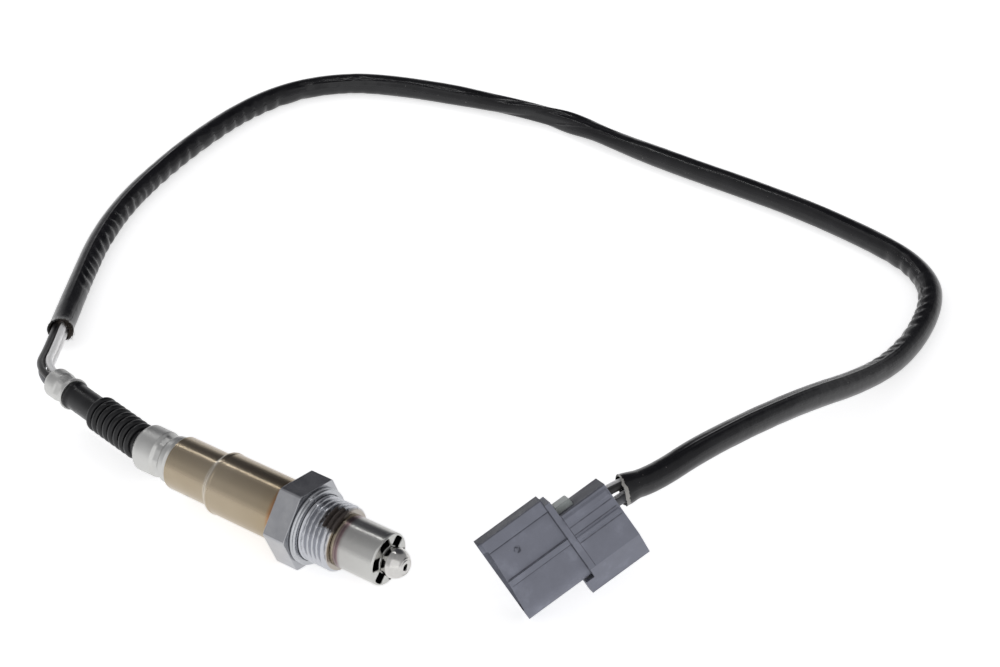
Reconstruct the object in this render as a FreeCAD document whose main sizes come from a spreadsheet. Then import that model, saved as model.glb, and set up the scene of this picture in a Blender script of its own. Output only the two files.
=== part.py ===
"""Four-wire heated exhaust oxygen sensor with its sleeved lead and plug, in millimetres.

The origin is the centre of the gasket's sealing face. +X runs along the sensor to its nose, +Z is up.
The sensor lies on its hexagon, and the lead makes one loop on the same surface.
"""
import FreeCAD
import Part
import Sketcher
import math
import os

doc = FreeCAD.newDocument("oxygen_sensor")
V = FreeCAD.Vector

# Driving dimensions
sheet = doc.addObject("Spreadsheet::Sheet", "Sizes")
SIZES = [
    ("hex_across_flats", 22), ("hex_thickness", 6.9), ("hex_roll", -7.6), ("hex_edge", 0.3),
    ("gasket_thickness", 1.8), ("gasket_radius", 10.5), ("gasket_bore_gap", 0.15), ("gasket_fold", 0.35), ("gasket_face_gap", 0.2),
    ("thread_radius", 9), ("thread_length", 8.8), ("thread_lead_in", 0.8), ("undercut_radius", 8.5),
    ("spigot_length", 2.6), ("skirt_length", 8), ("shell_bore_radius", 5.6), ("shell_nose_bore_radius", 4.2),
    ("shell_seat_depth", 2.5), ("slide_gap", 0.05), ("press_gap", 0.02),
    ("guard_radius", 7.2), ("guard_wall", 0.4), ("guard_length", 13.5), ("guard_rim", 0.55),
    ("slot_count", 6), ("slot_half_width", 1.25), ("slot_outer_radius", 6.4), ("slot_phase", 44.3),
    ("inner_guard_radius", 3.4), ("inner_guard_wall", 0.3), ("inner_guard_stand_out", 2.8),
    ("tip_flat_radius", 2.2), ("tip_hole_radius", 0.85),
    ("element_width", 4), ("element_height", 1.5), ("element_front", 21), ("element_rear", -33),
    ("element_gap", 0.1), ("insulator_collar_length", 3), ("talc_length", 4), ("upper_insulator_length", 7.5),
    ("holder_length", 21), ("holder_window", 2),
    ("housing_radius", 8.6), ("housing_wall", 0.5), ("housing_length", 23.9), ("housing_step_length", 0.9),
    ("housing_neck_radius", 7.5), ("housing_neck_length", 14.2),
    ("collar_lap", 4), ("collar_radius", 6.5), ("collar_wall", 0.5), ("collar_waist_radius", 5.95),
    ("collar_length", 13.4), ("collar_mouth_radius", 5.3), ("collar_closing", 1.3),
    ("bead_place", 0.6), ("bead_rise", 1.1), ("waist_place", 4.1), ("waist_length", 1.3),
    ("grommet_front", -44), ("grommet_length", 8.4),
    ("bend_station", -60.5), ("bend_angle", 10.4), ("bend_cover", 1.2), ("bend_lift", 0.15),
    ("plug_gap", 0.3),
    ("bellows_root_radius", 4.2), ("bellows_bore_radius", 3.4), ("bellows_ring_height", 0.95),
    ("bellows_pitch", 2.45), ("bellows_rings", 8), ("bellows_first", 2.2), ("bellows_flank", 0.65),
    ("neck_radius", 3.9), ("neck_bore_radius", 3.05), ("neck_end", 33.9), ("neck_tail_length", 8.2),
    ("ferrule_length", 9.3), ("ferrule_radius", 4.3), ("ferrule_wall", 0.45), ("ferrule_flare", 0.25),
    ("ferrule_closing", 0.7), ("crimp_place", 2), ("crimp_length", 1.4),
    ("wire_radius", 1.025), ("wire_spread", 1.1), ("grommet_spread", 1.45), ("ferrule_spread", 1.2),
    ("wire_start", -40), ("barrel_length", 3), ("barrel_wall", 0.25), ("contact_thickness", 0.25),
    ("contact_width", 1.1), ("contact_reach", 14),
    ("sleeve_radius", 3.65),
    ("plug_x", 49.25), ("plug_y", 11.33), ("plug_z", -1.22), ("plug_yaw", -119), ("plug_pitch", 26.9),
    ("plug_roll", -55.6), ("shroud_width", 23.4), ("shroud_height", 12), ("shroud_length", 19.3),
    ("shroud_wall", 1.3), ("shroud_depth", 13), ("shroud_corner", 4), ("shroud_key_corner", 1.2),
    ("flange_thickness", 1.6), ("flange_rise", 1), ("flange_left", -9.9), ("rear_length", 13.6), ("rear_left", -5.7),
    ("rear_right", 16.3), ("rear_chamfer", 6.5), ("key_bar_width", 3.3), ("key_bar_height", 0.9),
    ("key_rib_width", 1.4), ("key_rib_height", 0.7), ("key_rib_place", 1), ("key_setback", 1), ("hook_reach", 2.5),
    ("hook_gap", 0.7), ("rear_rib_place", -3.6), ("rear_rib_half_width", 1.7), ("rear_rib_rise", 0.6),
    ("rear_bead_place", 1.7), ("rear_bead_half_width", 1), ("rear_bead_rise", 0.5), ("rear_rib_setback", 0.6),
    ("cavity_centre", -1), ("cavity_spread", 1.9), ("cavity_radius", 1.65), ("pin_hole_radius", 0.85),
    ("web_depth", 4), ("pin_width", 1.4), ("pin_height", 0.8), ("pin_tip_depth", 4), ("pin_tip_taper", 1),
    ("wire_grip", 8), ("seal_length", 3.4), ("seal_inset", 0.5), ("retainer_length", 4.7),
    ("retainer_width", 1.7), ("retainer_height", 8.6), ("retainer_drop", 1.8), ("retainer_tongue", 0.8),
]
for row, (alias, number) in enumerate(SIZES, start=1):
    sheet.set("A%d" % row, alias)
    sheet.set("B%d" % row, str(number))
    sheet.setAlias("B%d" % row, alias)
doc.recompute()


def size(text):
    """The value of a formula in the sheet's aliases, each written as Sizes.alias."""
    answer = sheet.evalExpression(text)
    return float(getattr(answer, "Value", answer))


def origin_part(body, role):
    """One of a body's own origin planes or axes."""
    return [feature for feature in body.Origin.OriginFeatures if feature.Role == role][0]


def new_body(label, placement=None):
    body = doc.addObject("PartDesign::Body", "Body_" + label)
    body.Label = label
    if placement is not None:
        body.Placement = placement
    return body


def outline(body, name, plane, corners, offset=None, turn=None, centre=None):
    """Closed outline of straight sides and arcs, with every corner bound to two formulas.

    A corner is (x, y), or (x, y, mid_x, mid_y, axis, middle) where an arc leaves it: the arc passes
    through the mid point, and its centre's x or y, as axis says, is bound to the formula middle.
    """
    sketch = body.newObject("Sketcher::SketchObject", name)
    sketch.AttachmentSupport = [(origin_part(body, plane), "")]
    sketch.MapMode = "FlatFace"
    if offset is not None:
        sketch.setExpression("AttachmentOffset.Base.z", offset)
    if centre is not None:
        sketch.setExpression("AttachmentOffset.Base.x", centre)
    if turn is not None:
        sketch.AttachmentOffset = FreeCAD.Placement(V(0, 0, 0), FreeCAD.Rotation(V(0, 0, 1), 1))
        sketch.setExpression("AttachmentOffset.Rotation.Angle", turn)
    places = [V(size(corner[0]), size(corner[1]), 0) for corner in corners]
    count = len(corners)
    for index, corner in enumerate(corners):
        here, there = places[index], places[(index + 1) % count]
        if len(corner) == 2:
            sketch.addGeometry(Part.LineSegment(here, there), False)
        else:
            middle = V(size(corner[2]), size(corner[3]), 0)
            sketch.addGeometry(Part.Arc(here, middle, there), False)
    ends = []
    for index in range(count):
        forwards = sketch.getPoint(index, 1).distanceToPoint(places[index]) < 1e-6
        ends.append((1, 2) if forwards else (2, 1))
    for index, corner in enumerate(corners):
        after = (index + 1) % count
        sketch.addConstraint(Sketcher.Constraint("Coincident", index, ends[index][1], after, ends[after][0]))
        bind(sketch, "DistanceX", index, ends[index][0], places[index].x, corner[0])
        bind(sketch, "DistanceY", index, ends[index][0], places[index].y, corner[1])
        if len(corner) > 2:
            kind = "Distance" + corner[4].upper()
            bind(sketch, kind, index, 3, size(corner[5]), corner[5])
    return sketch


def bind(sketch, kind, geometry, point, number, formula):
    """One coordinate of a sketch point, driven by a formula."""
    index = sketch.addConstraint(Sketcher.Constraint(kind, geometry, point, number))
    sketch.setExpression("Constraints[%d]" % index, formula)


def disc(body, name, plane, radius, offset=None, across="0", along="0"):
    """A circle in one of the body's planes."""
    sketch = body.newObject("Sketcher::SketchObject", name)
    sketch.AttachmentSupport = [(origin_part(body, plane), "")]
    sketch.MapMode = "FlatFace"
    if offset is not None:
        sketch.setExpression("AttachmentOffset.Base.z", offset)
    middle = V(size(across), size(along), 0)
    sketch.addGeometry(Part.Circle(middle, V(0, 0, 1), size(radius)), False)
    bind(sketch, "DistanceX", 0, 3, middle.x, across)
    bind(sketch, "DistanceY", 0, 3, middle.y, along)
    index = sketch.addConstraint(Sketcher.Constraint("Radius", 0, size(radius)))
    sketch.setExpression("Constraints[%d]" % index, radius)
    return sketch


def spin(body, sketch, kind="Revolution"):
    """Turns an outline once round its own horizontal axis."""
    feature = body.newObject("PartDesign::" + kind, kind + "_" + sketch.Name)
    feature.Profile = sketch
    feature.ReferenceAxis = (sketch, ["H_Axis"])
    feature.Angle = 360
    sketch.Visibility = False
    doc.recompute()
    return feature


def push(body, sketch, kind, length, backwards=False, both=False):
    """Pads or pockets an outline by a formula's length."""
    feature = body.newObject("PartDesign::" + kind, kind + "_" + sketch.Name)
    feature.Profile = sketch
    feature.Length = size(length)
    feature.setExpression("Length", length)
    feature.Reversed = backwards
    feature.Midplane = both
    sketch.Visibility = False
    doc.recompute()
    return feature


def soften(body, name, radius, wanted, kind="Fillet"):
    """Rounds or bevels the edges of the body's last feature that the test picks."""
    base = body.Tip
    names = ["Edge%d" % number for number, edge in enumerate(base.Shape.Edges, start=1) if wanted(edge)]
    if not names:
        raise ValueError("no edge found for " + name)
    feature = body.newObject("PartDesign::" + kind, name)
    feature.Base = (base, names)
    quantity = "Radius" if kind == "Fillet" else "Size"
    setattr(feature, quantity, size(radius))
    feature.setExpression(quantity, radius)
    doc.recompute()
    return feature


def on_ring(station, radius, slack=0.02):
    """Test for the round edge at a station along X with a given radius."""
    place, reach = size(station), size(radius)

    def test(edge):
        if not isinstance(edge.Curve, Part.Circle):
            return False
        return abs(edge.Curve.Center.x - place) < slack and abs(edge.Curve.Radius - reach) < slack
    return test


def turned(label, corners, placement=None, turn=None, centre=None):
    """A body of revolution about X, from its outline of stations and radii."""
    body = new_body(label, placement)
    spin(body, outline(body, "Outline_" + label, "XY_Plane", corners, turn=turn, centre=centre))
    return body


def polar(body, original, count):
    """Repeats a feature evenly round the body's X axis."""
    pattern = body.newObject("PartDesign::PolarPattern", "Pattern_" + original.Name)
    pattern.Originals = [original]
    pattern.Axis = (origin_part(body, "X_Axis"), [""])
    pattern.Angle = 360
    pattern.Occurrences = int(size(count))
    pattern.setExpression("Occurrences", count)
    body.Tip = pattern
    doc.recompute()
    return pattern


# Stations along X, from the sealing face
HEX_FRONT = "-Sizes.gasket_thickness"
HEX_REAR = "(-Sizes.gasket_thickness - Sizes.hex_thickness)"
SKIRT_REAR = "(-Sizes.gasket_thickness - Sizes.hex_thickness - Sizes.skirt_length)"
SEAT = "-Sizes.shell_seat_depth"
SPIGOT_END = "(Sizes.thread_length + Sizes.spigot_length)"
GUARD_END = "(Sizes.thread_length + Sizes.guard_length)"
SPIGOT_RADIUS = "(Sizes.guard_radius - Sizes.guard_wall - Sizes.slide_gap)"
COLLAR_REAR = "(-Sizes.shell_seat_depth - Sizes.insulator_collar_length)"
TALC_REAR = "(-Sizes.shell_seat_depth - Sizes.insulator_collar_length - Sizes.talc_length)"
UPPER_REAR = "(" + TALC_REAR + " - Sizes.upper_insulator_length)"
HOLDER_REAR = "(" + UPPER_REAR + " - Sizes.holder_length)"
STEP_FRONT = "(" + HEX_REAR + " - Sizes.housing_length)"
STEP_REAR = "(" + STEP_FRONT + " - Sizes.housing_step_length)"
HOUSING_REAR = "(" + STEP_REAR + " - Sizes.housing_neck_length)"
COLLAR_REAR_END = "(" + HOUSING_REAR + " - Sizes.collar_length)"
BARREL_FRONT = "(" + HOUSING_REAR + " - Sizes.waist_place - Sizes.waist_length - Sizes.bead_rise)"
INSULATOR_RADIUS = "(Sizes.shell_bore_radius - Sizes.slide_gap)"


def hex_shell():
    """Steel body: hexagon, threaded shank, front spigot and rear skirt, bored in steps."""
    skirt_radius = "(Sizes.housing_radius - Sizes.housing_wall - Sizes.press_gap)"
    body = turned("hex_shell", [
        (SPIGOT_END, "0"),
        (SPIGOT_END, SPIGOT_RADIUS),
        ("Sizes.thread_length", SPIGOT_RADIUS),
        ("Sizes.thread_length", "Sizes.thread_radius - Sizes.thread_lead_in"),
        ("Sizes.thread_length - Sizes.thread_lead_in", "Sizes.thread_radius"),
        ("0", "Sizes.thread_radius"),
        ("0", "Sizes.undercut_radius"),
        (HEX_REAR, "Sizes.undercut_radius"),
        (HEX_REAR, skirt_radius),
        (SKIRT_REAR, skirt_radius),
        (SKIRT_REAR, "0")])
    corner = "Sizes.hex_across_flats / 2 / cos(30 deg)"
    corners = []
    for index in range(6):
        angle = "(%d + Sizes.hex_roll) * 1 deg" % (60 * index)
        corners.append((corner + " * cos(%s)" % angle, corner + " * sin(%s)" % angle))
    prism = outline(body, "Hexagon", "YZ_Plane", corners, offset=HEX_REAR)
    push(body, prism, "Pad", "Sizes.hex_thickness")
    across = size(corner)

    def outer_edge(edge):
        return all(math.hypot(v.Y, v.Z) > across - 0.01 for v in edge.Vertexes)
    soften(body, "HexEdges", "Sizes.hex_edge", outer_edge, "Chamfer")
    spin(body, outline(body, "Bore", "XY_Plane", [
        (SKIRT_REAR, "0"),
        (SKIRT_REAR, "Sizes.shell_bore_radius"),
        (SEAT, "Sizes.shell_bore_radius"),
        (SEAT, "Sizes.shell_nose_bore_radius"),
        (SPIGOT_END, "Sizes.shell_nose_bore_radius"),
        (SPIGOT_END, "0")]), "Groove")
    return body


def sealing_gasket():
    """Folded steel washer with two rolled lips and a fold line round its edge."""
    bore = "(Sizes.undercut_radius + Sizes.gasket_bore_gap)"
    face = "(Sizes.thread_radius + Sizes.gasket_face_gap)"
    rim = "(Sizes.gasket_radius - Sizes.gasket_fold)"
    body = turned("sealing_gasket", [
        ("-Sizes.gasket_thickness * 0.75", bore),
        ("-Sizes.gasket_thickness", face),
        ("-Sizes.gasket_thickness", rim),
        ("-Sizes.gasket_thickness * 0.75", "Sizes.gasket_radius"),
        ("-Sizes.gasket_thickness * 0.5", rim),
        ("-Sizes.gasket_thickness * 0.25", "Sizes.gasket_radius"),
        ("0", rim),
        ("0", face),
        ("-Sizes.gasket_thickness * 0.25", bore)])
    return body


def outer_protection_tube():
    """Pressed steel cup with a rounded rim; its end has slots that leave six spokes round the inner tube."""
    inside = "(Sizes.guard_radius - Sizes.guard_wall)"
    floor = "(" + GUARD_END + " - Sizes.guard_wall)"
    hub = "(Sizes.inner_guard_radius + Sizes.slide_gap)"
    body = turned("outer_protection_tube", [
        ("Sizes.thread_length + Sizes.slide_gap", inside),
        ("Sizes.thread_length + Sizes.slide_gap", "Sizes.guard_radius"),
        (GUARD_END, "Sizes.guard_radius"),
        (GUARD_END, hub),
        (floor, hub),
        (floor, inside)])
    soften(body, "Rim", "Sizes.guard_rim", on_ring(GUARD_END, "Sizes.guard_radius"))
    root = "(Sizes.inner_guard_radius - Sizes.guard_wall)"
    end = "sqrt(Sizes.slot_outer_radius^2 - Sizes.slot_half_width^2)"
    slot = outline(body, "Slot", "YZ_Plane", [
        (root, "-Sizes.slot_half_width"),
        (end, "-Sizes.slot_half_width", "Sizes.slot_outer_radius", "0", "x", "0"),
        (end, "Sizes.slot_half_width"),
        (root, "Sizes.slot_half_width")],
        offset=GUARD_END, turn="Sizes.slot_phase")
    cut = push(body, slot, "Pocket", "Sizes.guard_wall * 3")
    polar(body, cut, "Sizes.slot_count")
    return body


def inner_protection_tube():
    """Inner tube: a flange on the spigot, a straight barrel and a domed tip with one hole."""
    bore = "(Sizes.inner_guard_radius - Sizes.inner_guard_wall)"
    dome = "(" + GUARD_END + " + Sizes.inner_guard_stand_out)"
    flat = "(%s + sqrt(Sizes.inner_guard_radius^2 - Sizes.tip_flat_radius^2))" % dome
    ceiling = "(%s - Sizes.inner_guard_wall)" % flat
    ceiling_radius = "(Sizes.tip_flat_radius - Sizes.inner_guard_wall)"
    half = "cos(55 deg)"
    rise = "sin(55 deg)"
    body = turned("inner_protection_tube", [
        (SPIGOT_END, bore),
        (SPIGOT_END, SPIGOT_RADIUS),
        (SPIGOT_END + " + Sizes.inner_guard_wall", SPIGOT_RADIUS),
        (SPIGOT_END + " + Sizes.inner_guard_wall", "Sizes.inner_guard_radius"),
        (dome, "Sizes.inner_guard_radius",
         dome + " + Sizes.inner_guard_radius * " + half, "Sizes.inner_guard_radius * " + rise, "y", "0"),
        (flat, "Sizes.tip_flat_radius"),
        (flat, "Sizes.tip_hole_radius"),
        (ceiling, "Sizes.tip_hole_radius"),
        (ceiling, ceiling_radius),
        (dome, bore)])
    return body


def zirconia_element():
    """Flat ceramic strip that measures and holds its own heater, bevelled at its ends."""
    body = new_body("zirconia_element")
    half = "Sizes.element_width / 2"
    bevel = "Sizes.element_height / 3"
    strip = outline(body, "Strip", "XY_Plane", [
        ("Sizes.element_rear", "-%s + %s" % (half, bevel)),
        ("Sizes.element_rear + " + bevel, "-" + half),
        ("Sizes.element_front - " + bevel, "-" + half),
        ("Sizes.element_front", "-%s + %s" % (half, bevel)),
        ("Sizes.element_front", "%s - %s" % (half, bevel)),
        ("Sizes.element_front - " + bevel, half),
        ("Sizes.element_rear + " + bevel, half),
        ("Sizes.element_rear", "%s - %s" % (half, bevel))])
    push(body, strip, "Pad", "Sizes.element_height", both=True)
    return body


def window(body, name, wide, high, rear, length):
    """Rectangular passage along X, cut forwards from a station."""
    frame = outline(body, name, "YZ_Plane", [
        ("-%s / 2" % wide, "-%s / 2" % high),
        ("%s / 2" % wide, "-%s / 2" % high),
        ("%s / 2" % wide, "%s / 2" % high),
        ("-%s / 2" % wide, "%s / 2" % high)], offset=rear)
    return push(body, frame, "Pocket", length, backwards=True)


ELEMENT_SLOT_WIDTH = "(Sizes.element_width + 2 * Sizes.element_gap)"
ELEMENT_SLOT_HEIGHT = "(Sizes.element_height + 2 * Sizes.element_gap)"


def ceramic_ring(label, front, rear, nose=None):
    """Ceramic or powder piece in the shell's bore, with the element's slot through it."""
    corners = [(rear, "0"), (rear, INSULATOR_RADIUS), (front, INSULATOR_RADIUS)]
    tip = front
    if nose is not None:
        nose_radius = "(Sizes.shell_nose_bore_radius - Sizes.slide_gap)"
        corners += [(front, nose_radius), (nose, nose_radius)]
        tip = nose
    corners.append((tip, "0"))
    body = turned(label, corners)
    window(body, "Slot_" + label, ELEMENT_SLOT_WIDTH, ELEMENT_SLOT_HEIGHT, rear, "(%s) - (%s)" % (tip, rear))
    return body


def contact_holder():
    """Ceramic holder: a narrow window for the element, then an open channel for the contacts."""
    radius = "(Sizes.housing_neck_radius - Sizes.housing_wall - Sizes.element_gap)"
    front = UPPER_REAR
    body = turned("contact_holder", [(HOLDER_REAR, "0"), (HOLDER_REAR, radius), (front, radius), (front, "0")])
    window(body, "Window", ELEMENT_SLOT_WIDTH, ELEMENT_SLOT_HEIGHT, HOLDER_REAR, "Sizes.holder_length")
    clear = "(2 * (Sizes.grommet_spread + Sizes.wire_radius + Sizes.press_gap + Sizes.barrel_wall + Sizes.slide_gap))"
    window(body, "Channel", clear, clear, HOLDER_REAR, "Sizes.holder_length - Sizes.holder_window")
    return body


def square(body, name, half, offset, across, along):
    """A square across the X axis, given by half its width."""
    return outline(body, name, "YZ_Plane", [
        ("%s - (%s)" % (across, half), "%s - (%s)" % (along, half)),
        ("%s + (%s)" % (across, half), "%s - (%s)" % (along, half)),
        ("%s + (%s)" % (across, half), "%s + (%s)" % (along, half)),
        ("%s - (%s)" % (across, half), "%s + (%s)" % (along, half))], offset=offset)


def contact_spring(label, side, up):
    """Spring strip that presses on the element, with a barrel crimped round its wire."""
    body = new_body(label)
    seat = "Sizes.element_height / 2"
    top = "Sizes.grommet_spread"
    thick = "Sizes.contact_thickness"
    start = "Sizes.wire_start"
    reach = "Sizes.contact_reach"
    gap = "Sizes.slide_gap"
    rows = [
        (start + " + Sizes.barrel_wall", top),
        ("%s + %s * 0.3" % (start, reach), top),
        ("%s + %s * 0.75" % (start, reach), "%s + %s" % (seat, gap)),
        ("%s + %s" % (start, reach), "%s + %s + 2 * %s" % (seat, gap, thick))]
    lower = [(x, "%d * (%s)" % (up, z)) for x, z in rows]
    upper = [(x, "%d * (%s + %s)" % (up, z, thick)) for x, z in reversed(rows)]
    strip = outline(body, "Strip_" + label, "XZ_Plane", lower + upper,
                    offset="-(%d) * Sizes.grommet_spread" % side)
    push(body, strip, "Pad", "Sizes.contact_width", both=True)
    hollow = "(Sizes.wire_radius + Sizes.press_gap)"
    across = "%d * Sizes.grommet_spread" % side
    along = "%d * Sizes.grommet_spread" % up
    stop = "2 * Sizes.barrel_wall"
    barrel = square(body, "Barrel_" + label, hollow + " + Sizes.barrel_wall", "%s + %s" % (start, stop),
                    across, along)
    push(body, barrel, "Pad", "Sizes.barrel_length + " + stop, backwards=True)
    grip = disc(body, "Grip_" + label, "YZ_Plane", hollow, start, across, along)
    push(body, grip, "Pocket", "Sizes.barrel_length")
    return body


def housing_tube():
    """Thin steel tube over the shell's skirt, stepped down by a rolled shoulder."""
    wall = "Sizes.housing_wall"
    front = "(" + HEX_REAR + " - Sizes.slide_gap)"
    body = turned("housing_tube", [
        (front, "Sizes.housing_radius - " + wall),
        (front, "Sizes.housing_radius"),
        (STEP_FRONT, "Sizes.housing_radius"),
        (STEP_REAR, "Sizes.housing_neck_radius"),
        (HOUSING_REAR, "Sizes.housing_neck_radius"),
        (HOUSING_REAR, "Sizes.housing_neck_radius - " + wall),
        (STEP_REAR, "Sizes.housing_neck_radius - " + wall),
        (STEP_FRONT, "Sizes.housing_radius - " + wall)])
    return body


def crimp_collar():
    """Steel sleeve rolled into a bead, a crimped waist and a long barrel that closes on the boot."""
    lap = "(Sizes.housing_neck_radius - Sizes.housing_wall - Sizes.slide_gap)"
    inside = "(Sizes.collar_waist_radius - Sizes.collar_wall)"
    return turned("crimp_collar", [
        (HOUSING_REAR + " + Sizes.collar_lap", lap),
        (HOUSING_REAR + " + Sizes.slide_gap", lap),
        (HOUSING_REAR + " - Sizes.bead_place", "Sizes.collar_waist_radius"),
        (HOUSING_REAR + " - Sizes.bead_place - Sizes.bead_rise", "Sizes.collar_radius"),
        (HOUSING_REAR + " - Sizes.waist_place + Sizes.bead_rise", "Sizes.collar_radius"),
        (HOUSING_REAR + " - Sizes.waist_place", "Sizes.collar_waist_radius"),
        (HOUSING_REAR + " - Sizes.waist_place - Sizes.waist_length", "Sizes.collar_waist_radius"),
        (BARREL_FRONT, "Sizes.collar_radius"),
        (COLLAR_REAR_END + " + Sizes.collar_closing", "Sizes.collar_radius"),
        (COLLAR_REAR_END, "Sizes.collar_mouth_radius"),
        (COLLAR_REAR_END, "Sizes.collar_mouth_radius - Sizes.collar_wall"),
        (COLLAR_REAR_END + " + Sizes.collar_closing", "Sizes.collar_radius - Sizes.collar_wall"),
        (BARREL_FRONT, "Sizes.collar_radius - Sizes.collar_wall"),
        (HOUSING_REAR + " - Sizes.waist_place - Sizes.waist_length", inside),
        (HOUSING_REAR + " + Sizes.collar_lap", inside)])


def wire_grommet():
    """Rubber plug in the collar with one hole for each wire."""
    radius = "(Sizes.collar_waist_radius - Sizes.collar_wall - Sizes.slide_gap)"
    rear = "(Sizes.grommet_front - Sizes.grommet_length)"
    body = turned("wire_grommet", [(rear, "0"), (rear, radius), ("Sizes.grommet_front", radius),
                                   ("Sizes.grommet_front", "0")])
    hole = disc(body, "WireHole", "YZ_Plane", "Sizes.wire_radius + Sizes.press_gap", offset=rear,
                across="Sizes.grommet_spread", along="Sizes.grommet_spread")
    cut = push(body, hole, "Pocket", "Sizes.grommet_length", backwards=True)
    pattern = polar(body, cut, "4")
    pattern.Label = "WireHoles"
    return body


def bellows_boot():
    """Rubber boot in one piece: a plug in the collar, corrugated bellows and a plain neck, bent once."""
    body = new_body("bellows_boot")
    plug_front = "(%s - Sizes.plug_gap)" % BARREL_FRONT
    plug_rear = "(%s + Sizes.collar_closing + Sizes.plug_gap)" % COLLAR_REAR_END
    plug_radius = "(Sizes.collar_radius - Sizes.collar_wall - Sizes.slide_gap)"
    root = "Sizes.bellows_root_radius"
    bend = "Sizes.bend_station"
    tilt = "-Sizes.bend_angle"
    crest = "(Sizes.bellows_root_radius + Sizes.bellows_ring_height)"
    start = "Sizes.bellows_first"
    last = "(Sizes.bellows_first + Sizes.bellows_pitch * Sizes.bellows_rings)"
    end = "(Sizes.neck_end + Sizes.neck_tail_length)"
    tail_radius = "(Sizes.ferrule_radius - Sizes.ferrule_flare - Sizes.ferrule_wall - Sizes.slide_gap)"
    spin(body, outline(body, "Plug", "XY_Plane", [
        (plug_front, "0"),
        (plug_front, plug_radius),
        (plug_rear, plug_radius),
        (plug_rear, root + " + Sizes.bend_lift"),
        (bend + " - Sizes.bend_cover", root + " + Sizes.bend_lift"),
        (bend + " - Sizes.bend_cover", "0")]))
    spin(body, outline(body, "Neck", "XY_Plane", [
        ("0", "0"),
        ("0", root),
        ("-" + start, root),
        ("-%s - Sizes.bellows_flank" % start, crest),
        ("-%s + Sizes.bellows_flank" % last, crest),
        ("-" + last, "Sizes.neck_radius"),
        ("-Sizes.neck_end", "Sizes.neck_radius"),
        ("-Sizes.neck_end", tail_radius),
        ("-" + end, tail_radius),
        ("-" + end, "0")], turn=tilt, centre=bend))
    fold = outline(body, "Fold", "XY_Plane", [
        ("-%s - Sizes.bellows_pitch" % start, root),
        ("-%s - Sizes.bellows_pitch - Sizes.bellows_flank" % start, crest + " + Sizes.slide_gap"),
        ("-%s - Sizes.bellows_pitch + Sizes.bellows_flank" % start, crest + " + Sizes.slide_gap")],
        turn=tilt, centre=bend)
    first_fold = spin(body, fold, "Groove")
    folds = body.newObject("PartDesign::LinearPattern", "Folds")
    folds.Originals = [first_fold]
    folds.Direction = (fold, ["H_Axis"])
    folds.Reversed = True
    folds.Length = size("Sizes.bellows_pitch * (Sizes.bellows_rings - 2)")
    folds.setExpression("Length", "Sizes.bellows_pitch * (Sizes.bellows_rings - 2)")
    folds.Occurrences = int(size("Sizes.bellows_rings - 1"))
    folds.setExpression("Occurrences", "Sizes.bellows_rings - 1")
    body.Tip = folds
    doc.recompute()
    spin(body, outline(body, "PlugBore", "XY_Plane", [
        (plug_front + " + Sizes.plug_gap", "0"),
        (plug_front + " + Sizes.plug_gap", "Sizes.bellows_bore_radius + Sizes.bend_lift"),
        (bend + " - Sizes.bend_cover + Sizes.plug_gap", "Sizes.bellows_bore_radius + Sizes.bend_lift"),
        (bend + " - Sizes.bend_cover + Sizes.plug_gap", "0")]), "Groove")
    spin(body, outline(body, "NeckBore", "XY_Plane", [
        ("0", "0"),
        ("0", "Sizes.bellows_bore_radius"),
        ("-" + last, "Sizes.bellows_bore_radius"),
        ("-" + last, "Sizes.neck_bore_radius"),
        ("-%s - Sizes.plug_gap" % end, "Sizes.neck_bore_radius"),
        ("-%s - Sizes.plug_gap" % end, "0")], turn=tilt, centre=bend), "Groove")
    return body


def tail_placement():
    """Frame of the bent tail: its X axis runs back along the boot to the bend."""
    return FreeCAD.Placement(V(size("Sizes.bend_station"), 0, 0),
                             FreeCAD.Rotation(V(0, 0, 1), -size("Sizes.bend_angle")))


def end_ferrule():
    """Small metal ferrule, flared at the boot, crimped at its waist and drawn in at the wires."""
    front = "-Sizes.neck_end"
    rear = "(-Sizes.neck_end - Sizes.ferrule_length)"
    waist = "(Sizes.ferrule_radius - Sizes.ferrule_flare)"
    inside = "(Sizes.ferrule_radius - Sizes.ferrule_flare - Sizes.ferrule_wall)"
    return turned("end_ferrule", [
        (front, "Sizes.ferrule_radius + Sizes.ferrule_flare"),
        (front + " - Sizes.ferrule_flare * 3", "Sizes.ferrule_radius"),
        (front + " - Sizes.crimp_place", waist),
        (front + " - Sizes.crimp_place - Sizes.crimp_length", waist),
        (front + " - Sizes.crimp_place * 2 - Sizes.crimp_length", "Sizes.ferrule_radius"),
        (rear + " + Sizes.ferrule_closing", "Sizes.ferrule_radius"),
        (rear, "Sizes.ferrule_radius - Sizes.ferrule_closing"),
        (rear, "Sizes.ferrule_radius - Sizes.ferrule_closing - Sizes.ferrule_wall"),
        (rear + " + Sizes.ferrule_wall", inside),
        (front, inside)], tail_placement())


# The lead: a route of hand-chosen points, with tangent arcs as large as each corner's runs allow
ARC_SHARE = 0.45
ROUTE = [
    V(-118.8, 21.9, -3.5), V(-136, 45.3, -7.8), V(-164.4, 92, -8.1), V(-175.7, 138, -8.1),
    V(-179, 178.5, -8.1), V(-170.5, 203.5, -8.1), V(-150.5, 219, -8.1), V(-92.5, 233.8, -8.1),
    V(-45, 228.5, -8.1), V(6, 228.5, -8.1), V(47, 222, -8.1), V(63.5, 213, -8.1), V(71.8, 199.5, -8.1),
    V(76.8, 177.5, -8.1), V(78.3, 151, -4.5), V(74.7, 110, 7.8), V(70.6, 71, 14.6), V(67.9, 50.6, 14.6),
]
FERRULE_EXIT = 49.2
PLUG_EXIT = 3.0


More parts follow.
